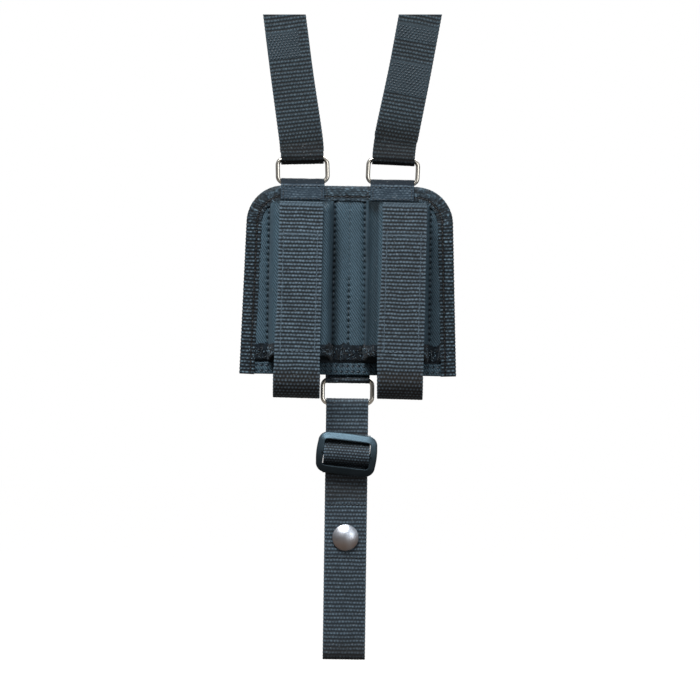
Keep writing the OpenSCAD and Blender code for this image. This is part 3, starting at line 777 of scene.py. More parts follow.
# ------------------------------------------------------------------ pocket sheet
def pocket_section():
    """Half of the pocket sheet's section, from the middle of the panel to its right edge, as (x, y)."""
    cx = POCKET_X
    pts = [[0, Y_SHEET - 0.1], [3, Y_SHEET - 0.45], [6, Y_SHEET - 0.55], [8.0, Y_SHEET - 0.15], [9.0, Y_SHEET - 0.1],
           [9.9, -8.3], [10.5, -12], [11.2, -16.4], [12.3, -19.8], [14.2, -21.45], [17.5, -21.9], [cx - 5, -22.0], [cx, -22.0], [cx + 5, -22.0],
           [2 * cx - 17.5, -21.9], [2 * cx - 14.2, -21.45], [2 * cx - 12.3, -19.8], [2 * cx - 11.2, -16.4], [2 * cx - 10.5, -12],
           [2 * cx - 9.9, -8.3], [2 * cx - 9.0, Y_SHEET - 0.1], [2 * cx - 8.0, Y_SHEET - 0.1], [50, Y_SHEET - 0.35], [54, Y_SHEET - 0.25], [60.3, Y_SHEET + 0.02]]
    return np.array(pts, float)


SEAM_DRIFT = {-POCKET_X + 19.0: -0.5, POCKET_X - 19.0: 1.0}
SEAMS_X = [-POCKET_X - 19.0, -POCKET_X + 19.0, 0.0, POCKET_X - 19.0, POCKET_X + 19.0]


def top_gap(x, z):
    """Distance down from the line where the pockets close, which follows the inner edge of the binding."""
    zc = HH - CR
    xc = side_x(zc) - CR / math.cos(SIDE_A)
    r = CR - 9.3
    d = Z_PTOP + 0.2 - z
    dx, dz = np.abs(x) - xc, z - zc
    corner = (dx > 0) & (dz > 0)
    return np.where(corner, np.minimum(d, r + 0.2 - np.hypot(np.clip(dx, 0, None), np.clip(dz, 0, None))), d)


def sheet_edge(z):
    """Half width of the flat sheet, inside the binding."""
    zc = HH - CR
    xc = side_x(zc) - CR / math.cos(SIDE_A)
    r = CR - 2.5
    return np.where(z > zc, xc + np.sqrt(np.clip(r * r - (z - zc) ** 2, 0, None)), side_x(z) - 2.5)


def sheet_point(x0, y0, z, sgn_arc):
    """Puts a section point at height z: the pocket closes towards its top, the walls draw in a little near the mouth,
    and the cloth has soft folds.
    """
    depth = Y_SHEET - y0
    top = np.clip(top_gap(x0, z) / 7.0, 0, 1)
    k = np.sqrt(np.clip(1 - (1 - top) ** 2, 0, 1)) * 0.86 + 0.14 * smoothstep(0, 0.3, top)
    low = smoothstep(Z_LIP + 14, Z_LIP - 2, z)
    wall = np.clip(depth / 15.4, 0, 1)
    mid = wall * (1 - wall) * 4
    fold = 0.55 * vnoise(np.stack([z * 0.075, sgn_arc * 0.13], 1), 31) + 0.28 * vnoise(np.stack([z * 0.22, sgn_arc * 0.3], 1), 32)
    flat_amp = 0.10 + 0.5 * mid
    y = Y_SHEET - depth * k + fold * flat_amp * smoothstep(0.0, 0.15, wall) - 0.0
    y = y + 0.16 * vnoise(np.stack([z * 0.11, sgn_arc * 0.16], 1), 33) * (1 - smoothstep(0, 0.1, wall))
    # the free mouth: the walls bow, and draw in a little near the mouth
    x = x0 + np.sign(x0) * 0
    cx = np.where(x0 > 0, POCKET_X, -POCKET_X)
    rel = x0 - cx
    bow = mid * np.sign(rel) * (0.5 * vnoise(np.stack([z * 0.09, cx * 0.05 + 3 * np.sign(rel)], 1), 34) + 0.5)
    x = x + bow - rel * 0.02 * low * wall
    return x, y


def pocket_sheet():
    half = pocket_section()
    full = np.concatenate([half[::-1] * [-1, 1], half[1:]])
    C = catmull(full, 10)
    C, cs = resample(C, 0.6)
    Tc = np.gradient(C, axis=0)
    Tc /= np.linalg.norm(Tc, axis=1)[:, None]
    Nc = np.stack([Tc[:, 1], -Tc[:, 0]], 1)       # forwards, away from the panel
    if Nc[len(C) // 2, 1] > 0:
        Nc = -Nc
    arc = cs - cs[-1] / 2
    zs = np.linspace(Z_LIP + 6.6, HH - 5.3, 165)
    t = 0.62
    nf, nz = len(C), len(zs)

    def surface(off):
        X = np.tile(C[:, 0] + Nc[:, 0] * off, nz)
        Y = np.tile(C[:, 1] + Nc[:, 1] * off, nz)
        Z = np.repeat(zs, nf)
        A = np.tile(arc, nz)
        # the outer edges follow the panel's sides
        X = np.where(np.abs(X) > 47.2, np.sign(X) * (47.2 + (np.abs(X) - 47.2) / 13.1 * (sheet_edge(Z) - 47.2)), X)
        x, y = sheet_point(X, Y, Z, A)
        # stitched seams: a line of dimples, deepest at the needle holes
        dim = np.zeros(len(x))
        hole = np.zeros(len(x))
        for sx in SEAMS_X:
            xs = sx + SEAM_DRIFT.get(sx, 0.0) * (Z_PTOP - Z) / 95
            g = np.exp(-((X - xs) / 0.95) ** 2)
            ph = 0.5 + 0.5 * np.cos(2 * np.pi * (Z - Z_LIP) / 3.45)
            stop = 1.0
            if sx == 0.0:
                stop = 0.25 + 0.75 * smoothstep(5, -2, Z)
            dim += g * (0.25 + 0.45 * ph ** 2) * stop
            hole += np.exp(-((X - xs) / 0.80) ** 2) * ph ** 2 * stop * 1.15
            pucker = np.exp(-((X - xs) / 2.4) ** 2) * 0.05 * np.sin(2 * np.pi * Z / 3.45 + 1.0) * stop
            dim += pucker
        y = y + dim
        return x, y, Z, A, hole

    x1, y1, z1, a1, h1 = surface(t / 2)
    x2, y2, z2, a2, h2 = surface(-t / 2)
    y2 = np.minimum(y2, -5.72)
    y1 = np.minimum(y1, y2 - 0.25)
    front = np.stack([x1, y1, z1], 1).reshape(nz, nf, 3)
    back = np.stack([x2, y2, z2], 1).reshape(nz, nf, 3)
    ring = np.concatenate([front, back[:, ::-1]], 1)
    hole = np.concatenate([h1.reshape(nz, nf), np.zeros((nz, nf))], 1).ravel()
    A = np.concatenate([a1.reshape(nz, nf), a2.reshape(nz, nf)[:, ::-1]], 1).ravel()
    Zr = np.concatenate([z1.reshape(nz, nf), z2.reshape(nz, nf)[:, ::-1]], 1).ravel()
    V = ring.reshape(-1, 3)
    F = tube_faces(nz, 2 * nf)
    rel = np.abs(np.abs(V[:, 0]) - POCKET_X)
    inner = np.abs(V[:, 0]) < POCKET_X
    # painted shade on the right pocket's inner wall, along the seams and at the right edge
    valley_shade = 0.50 * smoothstep(9.6, 11.4, V[:, 0]) * smoothstep(17.6, 15.8, V[:, 0]) + 0.06 * np.exp(-((np.abs(V[:, 0]) - 9.6) / 1.7) ** 2) + 0.06 * np.exp(-((np.abs(V[:, 0]) - 46.4) / 1.4) ** 2)
    valley_shade = valley_shade + 0.30 * smoothstep(46.5, 48.5, V[:, 0])
    # painted shade under the binding at the top and in the pockets' closed ends
    valley_shade = valley_shade + 0.30 * smoothstep(Z_PTOP - 3.0, Z_PTOP - 0.5, V[:, 2]) + 0.34 * (rel < 17) * smoothstep(Z_PTOP - 9, Z_PTOP - 3, V[:, 2])
    # soft shade beside the left pocket, narrower beside the right one
    mid = smoothstep(10.4, 8.8, np.abs(V[:, 0]))
    valley_shade = valley_shade + mid * 0.46 * smoothstep(-3.6, -7.6, V[:, 0]) * smoothstep(42, 12, V[:, 2])
    valley_shade = valley_shade + 0.12 * (rel < 14) * smoothstep(Z_PTOP - 12, Z_PTOP - 4, V[:, 2])
    valley_shade = np.clip(valley_shade, 0, 0.88)
    # painted shade in the needle holes and the valleys, carried by 'cav'
    ob = build("pocket_sheet_cloth", V, F, {"cav": (1 - 0.95 * np.clip(hole, 0, 1)) * (1 - valley_shade), "wuv": np.stack([A, Zr, 0 * A], 1), "tone": np.ones(len(V))}, mat=M["twill"])
    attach(ob, "panel")
    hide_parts("pocket_sheet")
    # thread on the seams
    items = []
    for sx in SEAMS_X:
        z_hi = Z_PTOP - 1 if abs(sx) < 40 else Z_PTOP - 5
        z = Z_LIP + 3.45 * 2.5
        while z < z_hi:
            x = sx + SEAM_DRIFT.get(sx, 0.0) * (Z_PTOP - z) / 95
            items.append(((x, Y_SHEET - 0.26, z - 0.95), (x, Y_SHEET - 0.26, z + 0.95), (0, -1, 0)))
            z += 3.45
    st = stitches("pocket_stitches", items, M["thread_seam"], width=0.62, height=0.42, seed=6)
    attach(st, "panel")
    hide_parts("pocket_stitching")
    return C, Nc, arc, cs


def pocket_lip(C, Nc, arc):
    """The overlocked band along the sheet's lower edge: a thick core wrapped in slanting threads."""
    zs = np.linspace(Z_LIP - 2.0, Z_LIP + 7.0, 19)
    nf, nz = len(C), len(zs)

    def surface(off):
        Z = np.repeat(zs, nf)
        X = np.tile(C[:, 0], nz)
        Y = np.tile(C[:, 1], nz)
        nx, ny = np.tile(Nc[:, 0], nz), np.tile(Nc[:, 1], nz)
        A = np.tile(arc, nz)
        X = np.where(np.abs(X) > 47.2, np.sign(X) * (47.2 + (np.abs(X) - 47.2) / 13.1 * (sheet_edge(Z) - 47.2)), X)
        wall = np.clip((Y_SHEET - Y) / 15.4, 0, 1)
        lift = 2.6 * smoothstep(0.25, 0.9, wall) * smoothstep(Z_LIP + 5, Z_LIP - 2, Z)
        x, y = sheet_point(X, Y, Z, A)
        rough = 0.36 * vnoise(np.stack([A * 0.5, Z * 0.6], 1), 41) + 0.24 * vnoise(np.stack([A * 1.1, Z * 1.3], 1), 42)
        k = off + np.sign(off) * rough * 0.8
        up = smoothstep(Z_LIP + 4.0, Z_LIP + 7.0, Z)
        rag = 1.15 * vnoise(np.stack([A * 0.33, 0 * A], 1), 43) + 0.55 * vnoise(np.stack([A * 1.1, 0 * A], 1), 44)
        return x + nx * k, y + ny * k, Z + lift + up * rag, A

    x1, y1, z1, a1 = surface(0.52)
    x2, y2, z2, a2 = surface(-0.42)
    y2 = np.minimum(y2, -5.72)
    y1 = np.minimum(y1, y2 - 0.3)
    front = np.stack([x1, y1, z1], 1).reshape(nz, nf, 3)
    back = np.stack([x2, y2, z2], 1).reshape(nz, nf, 3)
    V = np.concatenate([front, back[:, ::-1]], 1).reshape(-1, 3)
    F = tube_faces(nz, 2 * nf)
    A = np.concatenate([a1.reshape(nz, nf), a2.reshape(nz, nf)[:, ::-1]], 1).ravel()
    mot = 0.55 + 0.45 * vnoise(np.stack([A * 0.55, V[:, 2] * 0.5], 1), 45) + 0.35 * vnoise(np.stack([A * 1.5, V[:, 2] * 1.4], 1), 46)
    ob = build("pocket_lip_core", V, F, {"cav": np.clip(mot, 0.05, 1), "wuv": np.stack([A, V[:, 2], 0 * A], 1), "tone": np.ones(len(V))}, mat=M["lip"])
    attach(ob, "panel")
    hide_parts("pocket_lip_tape")
    # slanting wraps of thread
    rng = np.random.default_rng(11)
    parts = []
    total = arc[-1] - arc[0]
    n = int(total / 0.30)
    F3 = front
    for k in range(n):
        q = (k + rng.uniform(0, 1)) / n * (nf - 1)
        if q < 3 or q > nf - 6:
            continue
        pts = []
        short = rng.random() < 0.88
        slant = rng.normal(0.6, 3.2)
        hi = rng.uniform(0.62, 0.98) * (nz - 1)
        lo = 0.0
        if short:
            # a short loop lying on the band
            lo = rng.uniform(0.0, 0.75) * (nz - 1)
            hi = min(nz - 1.001, lo + rng.uniform(0.05, 0.16) * (nz - 1))
            slant = rng.normal(0, 1.8)
        m_ = 4 if short else 7
        for m in range(m_):
            f = m / (m_ - 1)
            col = min(nf - 1.001, max(0, q + slant * f))
            row = hi + (lo - hi) * f
            i, j = int(row), int(col)
            fi, fj = row - i, col - j
            i2, j2 = min(i + 1, nz - 1), min(j + 1, nf - 1)
            p = (F3[i, j] * (1 - fi) * (1 - fj) + F3[i2, j] * fi * (1 - fj) + F3[i, j2] * (1 - fi) * fj + F3[i2, j2] * fi * fj)
            nrm = np.array([Nc[j, 0], Nc[j, 1], 0])
            pts.append(p + nrm * (0.06 + (0.34 if short else 0.16) * math.sin(math.pi * f)))
        if not short:
            j = int(min(nf - 1, max(0, q + slant)))
            nrm = np.array([Nc[j, 0], Nc[j, 1], 0])
            pts.append(pts[-1] - nrm * 0.55 + np.array([0, 0, -0.28]))
        tv, tf, ta = thread_tube(np.array(pts), rng.uniform(0.14, 0.22))
        shade = rng.choice([0.05, 0.4, 1.4, 2.8], p=[0.32, 0.18, 0.24, 0.26])
        ta["tone"] = ta["tone"] * (shade if short else min(shade, 0.7))
        parts.append((tv, tf, ta))
    V, F, A = join(parts)
    th = build("pocket_lip_threads", V, F, A, mat=M["lip_thread"])
    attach(th, "panel")


def thread_tube(P, r, n=5):
    """A thin tube along P, closed at its ends."""
    P = np.asarray(P, float)
    T = np.gradient(P, axis=0)
    T /= np.linalg.norm(T, axis=1)[:, None]
    ref = np.array([0.3, 0.2, 0.93])
    A = np.cross(T, ref)
    A /= np.linalg.norm(A, axis=1)[:, None] + 1e-9
    B = np.cross(T, A)
    th = np.linspace(0, 2 * np.pi, n, endpoint=False)
    rr = np.full(len(P), r)
    rr[0] *= 0.4
    rr[-1] *= 0.4
    V = P[:, None, :] + rr[:, None, None] * (np.cos(th)[None, :, None] * A[:, None, :] + np.sin(th)[None, :, None] * B[:, None, :])
    V = V.reshape(-1, 3)
    F = tube_faces(len(P), n, cap=False)
    caps = []
    for base in (0, (len(P) - 1) * n):
        c = [[base, base + 1, base + 2, base + 3], [base, base + 3, base + 4, base + 4]]
        if base == 0:
            c = [x[::-1] for x in c]
            c[1] = [base + 4, base + 3, base, base]
        caps += c
    F = np.concatenate([F, np.array(caps)])
    return V, F, {"cav": np.ones(len(V)), "tone": np.ones(len(V))}


# ------------------------------------------------------------------ sheets of the panel
def slab(name, xz_fun, y_front, y_back, nx, nz, mat, bumps=None, cavf=None):
    """A closed sheet over a grid: xz_fun(a, b) maps 0..1 to x, z; y_front and y_back take x, z."""
    a = np.linspace(0, 1, nx)
    b = np.linspace(0, 1, nz)
    Aa, Bb = np.meshgrid(a, b)
    x, z = xz_fun(Aa.ravel(), Bb.ravel())
    yf, yb = y_front(x, z), y_back(x, z)
    front = np.stack([x, yf, z], 1).reshape(nz, nx, 3)
    back = np.stack([x, yb, z], 1).reshape(nz, nx, 3)
    V = np.concatenate([front, back[:, ::-1]], 1).reshape(-1, 3)
    F = tube_faces(nz, 2 * nx)
    cav = np.ones(len(V)) if cavf is None else cavf(V[:, 0], V[:, 2])
    return build(name, V, F, {"cav": cav, "wuv": np.stack([V[:, 0], V[:, 2], V[:, 1]], 1), "tone": np.ones(len(V))}, mat=mat)


def outline_grid(inset, zb):
    """Maps a unit square to the panel outline inset by a distance, down to the height zb."""
    zt = HH - inset
    zc = HH - CR
    xc = side_x(zc) - CR / math.cos(SIDE_A)
    r = CR - inset

    def f(a, b):
        z = zb + (zt - zb) * b
        w = side_x(z) - inset
        k = z > zc
        w = np.where(k, xc + np.sqrt(np.clip(r * r - (z - zc) ** 2, 0, None)), w)
        return (a * 2 - 1) * w, z
    return f


def back_cover():
    def inner(x, z):
        """0 at the sewn edge, 1 on the padded middle."""
        d = np.minimum(side_x(z) - 9.6 - np.abs(x), np.minimum(HH - 9.6 - z, z + HH - 9.0))
        zc, xc = HH - CR, WT - CR
        dx, dz = np.abs(x) - xc, z - zc
        corner = (dx > 0) & (dz > 0)
        d = np.where(corner, np.minimum(d, CR - 9.6 - np.sqrt(np.clip(dx, 0, None) ** 2 + np.clip(dz, 0, None) ** 2)), d)
        return d

    def yb(x, z):
        d = inner(x, z)
        k = smoothstep(-0.5, 7.5, d)
        y = -1.95 + 1.92 * k ** 0.7
        y += 0.10 * vnoise(np.stack([x * 0.06, z * 0.06], 1), 51) * k
        y += -0.28 * np.exp(-((d - 0.4) / 0.7) ** 2)
        return np.minimum(y, -0.02)

    def yf(x, z):
        return np.full_like(x, -2.45)
    ob = slab("rear_cover_cloth", outline_grid(1.3, -HH + 0.1), yf, yb, 190, 170, M["cover"])
    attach(ob, "panel")
    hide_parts("back_cover")
    ob = slab("front_cover_cloth", outline_grid(1.35, -HH + 0.1),
              lambda x, z: -5.60 + 0.05 * vnoise(np.stack([x * 0.2, z * 0.2], 1), 52), lambda x, z: np.full_like(x, -5.1), 130, 110, M["cover"])
    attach(ob, "panel")
    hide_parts("front_cover")


def bottom_hem():
    z0, z1 = -HH, -HH + 7.0
    rows = [z0 + 1.9, z0 + 5.1]

    def xz(a, b):
        z = z0 + (z1 - z0) * b
        z = z + 0.18 * vnoise((a * 14), 61) * (0.3 + 0.7 * b)
        return (a * 2 - 1) * (side_x(z) - 2.3), z

    def yf(x, z):
        e = np.minimum(z - z0, z1 - z)
        y = Y_SHEET + 0.02 - 0.10 * smoothstep(0, 1.5, e) + 0.35 * (1 - smoothstep(-0.1, 0.6, e))
        for r in rows:
            ph = 0.5 + 0.5 * np.cos(2 * np.pi * x / 3.3)
            y += np.exp(-((z - r) / 0.62) ** 2) * (0.10 + 0.30 * ph ** 2)
        y += 0.10 * vnoise(np.stack([x * 0.25, z * 0.3], 1), 62)
        return y

    # painted shade: darker in the needle holes of both stitch rows and in the gap along the hem's top edge
    def cav(x, z):
        h = np.zeros_like(x)
        for r in rows:
            ph = 0.5 + 0.5 * np.cos(2 * np.pi * x / 3.3)
            h += np.exp(-((z - r) / 0.78) ** 2) * ph ** 1.6 * 1.25
        e = smoothstep(z1 - 0.7, z1 - 0.1, z) * 0.3
        return 1 - 0.90 * np.clip(h * 0.88 + e, 0, 1)
    ob = slab("bottom_hem_cloth", xz, yf, lambda x, z: np.full_like(x, -5.74), 330, 26, M["twill"], cavf=cav)
    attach(ob, "panel")
    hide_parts("bottom_hem")
    items = []
    for r in rows:
        x = -WB + 11 + 1.65
        while x < WB - 11:
            items.append(((x - 0.9, Y_SHEET - 0.04, r), (x + 0.9, Y_SHEET - 0.04, r), (0, -1, 0)))
            x += 3.3
    st = stitches("hem_stitches", items, M["thread_mid"], width=0.7, height=0.5, seed=7)
    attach(st, "panel")
    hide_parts("hem_stitching")


# ------------------------------------------------------------------ tape tabs
def tape(name, path, width, t, mat, xc, body, replaces, seed=1, y0=0.0, ripple=0.12, flare=None, woven=None, wp=(2.4, 1.36), tone=None, step=0.5, amp=0.26, smooth_cav=0.44, base_w=0.42):
    """A closed strip of tape. woven(z, front) gives 0 where it is smooth and 1 where the weave shows."""
    P, s = smooth_path(path, step, rounds=0.5)
    T = np.gradient(P, axis=0)
    T /= np.linalg.norm(T, axis=1)[:, None]
    N = np.stack([-T[:, 1], T[:, 0]], 1)
    hw = width / 2
    nu = int(width / (0.5 if woven is None else 0.36)) + 1
    uf = np.linspace(-hw + 0.2, hw - 0.2, nu)
    u = np.concatenate([uf, [hw], uf[::-1], [-hw]])
    side = np.concatenate([np.ones(nu), [0], -np.ones(nu), [0]])
    nc, ns = len(u), len(P)
    U, S, Vv = np.tile(u, ns), np.tile(side, ns), np.repeat(s, nc)
    off = S * t / 2
    rip = ripple * vnoise(np.stack([U * 0.25, Vv * 0.35], 1), seed) + 0.5 * ripple * vnoise(np.stack([U * 0.9, Vv * 0.9], 1), seed + 1)
    off = off + np.where(S > 0, rip, rip * 0.2)
    Py, Pz = np.repeat(P[:, 0], nc), np.repeat(P[:, 1], nc)
    k = np.ones(len(U)) if flare is None else flare(Pz)
    cav = np.full(len(U), smooth_cav)
    if woven is not None:
        wv = woven(Pz, Py) * (S > 0)
        W = weave(U + 0.5 * vnoise(np.stack([U * 0.3, Vv * 0.3], 1), seed + 3), Vv + 0.45 * vnoise(np.stack([U * 0.16, Vv * 0.3], 1), seed + 4), wp[0], wp[1], seed + 5, 1.8, 0.62)
        W = W * (0.62 + 0.38 * vnoise(np.stack([U * 0.45, Vv * 0.8], 1), seed + 6))
        cav = np.clip(smooth_cav * (1 - wv) + wv * (base_w + (1 - base_w) * W), 0, 1)
        off = off - amp * wv * (1 - W)
    V = np.stack([xc + U * k, y0 + Py + np.repeat(N[:, 0], nc) * off, Pz + np.repeat(N[:, 1], nc) * off], 1)
    # 'tone' carries painted shade for the material, 1 where there is none
    tn = np.ones(len(V)) if tone is None else tone(U, Vv, Pz, Py)
    ob = build(name, V, tube_faces(ns, nc), {"cav": cav, "wuv": np.stack([U, Vv, S], 1), "tone": tn}, mat=mat)
    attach(ob, body)
    if replaces:
        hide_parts(*replaces)
    return ob


def ring_tabs():
    items = []
    for side_name, cx in X_RING.items():
        z = Z_BAR_LOW
        f = (Y_BIND_F - 0.05 - 0.4) - Y_RING
        b = (-0.05 - 0.4) - Y_RING
        half = [[3.85, z - 2.2], [3.55, z - 1.2], [2.9, z + 0.1], [2.15, z + 1.05], [1.15, z + 1.75]]
        # from the rear leg's end, over the bar, down the front: the outer side is on the left seen along +X
        p = [[b, HH - 8.0]] + half + [[0, z + 1.98]] + [[-q[0], q[1]] for q in half[::-1]] + [[f, HH - 8.9]]
        p = np.array(p)[::-1]
        # 'tone' keeps the tab at 0.64 and adds painted shade where it wraps over the bar; it is darker again at its
        # lower ends
        tape(side_name + "_ring_tab_tape", p, 25.2, 0.56, M["tab"], cx, "panel", [side_name + "_ring_tab"], seed=70 + int(cx), y0=Y_RING, ripple=0.07,
             woven=lambda z_, y_: 0.92 * smoothstep(HH + 1.1, HH + 0.2, z_), tone=lambda U_, v_, z_, y_: 0.64 - 0.26 * smoothstep(HH + 0.2, HH + 1.0, z_) - 0.35 * smoothstep(HH - 7.6, HH - 8.9, z_), step=0.27, base_w=0.55)
        y = Y_BIND_F - 0.05 - 0.7
        # the box of stitches: two long rows near the tab's edges and one across its lower end
        for sx in (-11.2, 11.2):
            for k in range(5):
                zz = HH - 7.4 + k * 1.75
                items.append(((cx + sx, y - 0.02, zz - 0.75), (cx + sx, y - 0.02, zz + 0.75), (0, -1, 0)))
        for k in range(9):
            x = cx - 10.4 + k * 2.35
            items.append(((x, y - 0.02, HH - 7.9), (x + 1.8, y - 0.02, HH - 7.9), (0, -1, 0)))
            items.append(((x, y - 0.02, HH - 0.6), (x + 1.8, y - 0.02, HH - 0.6), (0, -1, 0)))
        # a row through the binding beside the tab
        sx = 14.0 if side_name == "left" else -14.0
        for k in range(5):
            zz = HH - 7.2 + k * 1.6
            items.append(((cx + sx, Y_BIND_F + 0.12, zz - 0.72), (cx + sx, Y_BIND_F + 0.12, zz + 0.72), (0, -1, 0)))
    st = stitches("tab_stitches", items, M["thread_patch"], width=0.5, height=0.34, seed=8)
    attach(st, "panel")
    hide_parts("tab_stitching")
    # the bottom tab
    z = Z_BAR_TAB
    arc = arc_pts(0, z, 2.0, 180, 360, 24)
    p = [[-0.375, -HH + 8], [-0.375, -HH - 0.3], [-1.9, z + 0.65]] + arc.tolist() + [[1.9, z + 0.65], [0.375, -HH - 0.3], [0.375, -HH + 8]]
    # painted shade: 'tone' darkens the tab where it comes out under the hem and round the underside of the bar
    tape("bottom_ring_tab_tape", np.array(p)[::-1], 25.6, 0.62, M["tab_brightened"], 0.0, "panel", ["bottom_ring_tab"], seed=90, y0=YC_CORE, ripple=0.06,
         woven=lambda z_, y_: np.ones(len(z_)), wp=(2.0, 1.5), tone=lambda U_, v_, z_, y_: 0.55 + 0.45 * smoothstep(-HH - 0.2, -HH - 1.4, z_) - 0.45 * smoothstep(z - 1.3, z - 2.1, z_), step=0.3, amp=0.22, base_w=0.15)


# ------------------------------------------------------------------ rings
def ring(name, body, centre, tilt, node_name):
    hx, hz, r = RING_X, RING_Z, BEND_R
    pts = []
    for cx, cz, a0 in ((hx - r, hz - r, 90), (hx - r, -hz + r, 0), (-hx + r, -hz + r, -90), (-hx + r, hz - r, -180)):
        for a in np.linspace(a0, a0 - 90, 12):
            pts.append([cx + r * math.cos(math.radians(a)), cz + r * math.sin(math.radians(a))])
    pts.append(pts[0])
    P, s = resample(pts, 0.45)
    P = P[:-1]
    T = np.roll(P, -1, 0) - np.roll(P, 1, 0)
    T /= np.linalg.norm(T, axis=1)[:, None]
    N = np.stack([-T[:, 1], T[:, 0]], 1)
    n = 20
    th = np.linspace(0, 2 * np.pi, n, endpoint=False)
    ns = len(P)
    # butt joint of the wire in the middle of the lower bar
    xs, zs_ = P[:, 0], P[:, 1]
    weld = np.where(zs_ < 0, np.exp(-((xs - 1.0) / 0.35) ** 2), 0)
    rr = (WIRE_R * (1 - 0.10 * weld))[:, None]
    X = P[:, 0][:, None] + N[:, 0][:, None] * rr * np.cos(th)[None]
    Z = P[:, 1][:, None] + N[:, 1][:, None] * rr * np.cos(th)[None]
    Y = rr * np.sin(th)[None]
    V = np.stack([X, Y, Z], -1).reshape(-1, 3)
    i = np.arange(ns)[:, None] * n
    i2 = (np.arange(ns) + 1)[:, None] % ns * n
    j = np.arange(n)[None]
    k = (j + 1) % n
    F = np.stack([i + j, i + k, i2 + k, i2 + j], -1).reshape(-1, 4)
    c, s_ = math.cos(tilt), math.sin(tilt)
    piv = np.array(centre, float)
    off = V + [0, 0, RING_Z if body != "bottom_ring" else 0]
    V = np.stack([off[:, 0] * c + off[:, 2] * s_, off[:, 1], -off[:, 0] * s_ + off[:, 2] * c], 1) + piv
    ob = build(name, V, F, {"cav": np.ones(len(V)), "tone": np.ones(len(V))}, mat=M["ring"])
    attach(ob, body)
    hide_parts(node_name)


# ------------------------------------------------------------------ flaps
def place_flap(V, cx):
    c, s = math.cos(FLAP_TILT), math.sin(FLAP_TILT)
    x, z = V[:, 0], V[:, 2] - FOLD_Z
    return np.stack([cx + x * c + z * s, V[:, 1], FOLD_Z - x * s + z * c], 1)


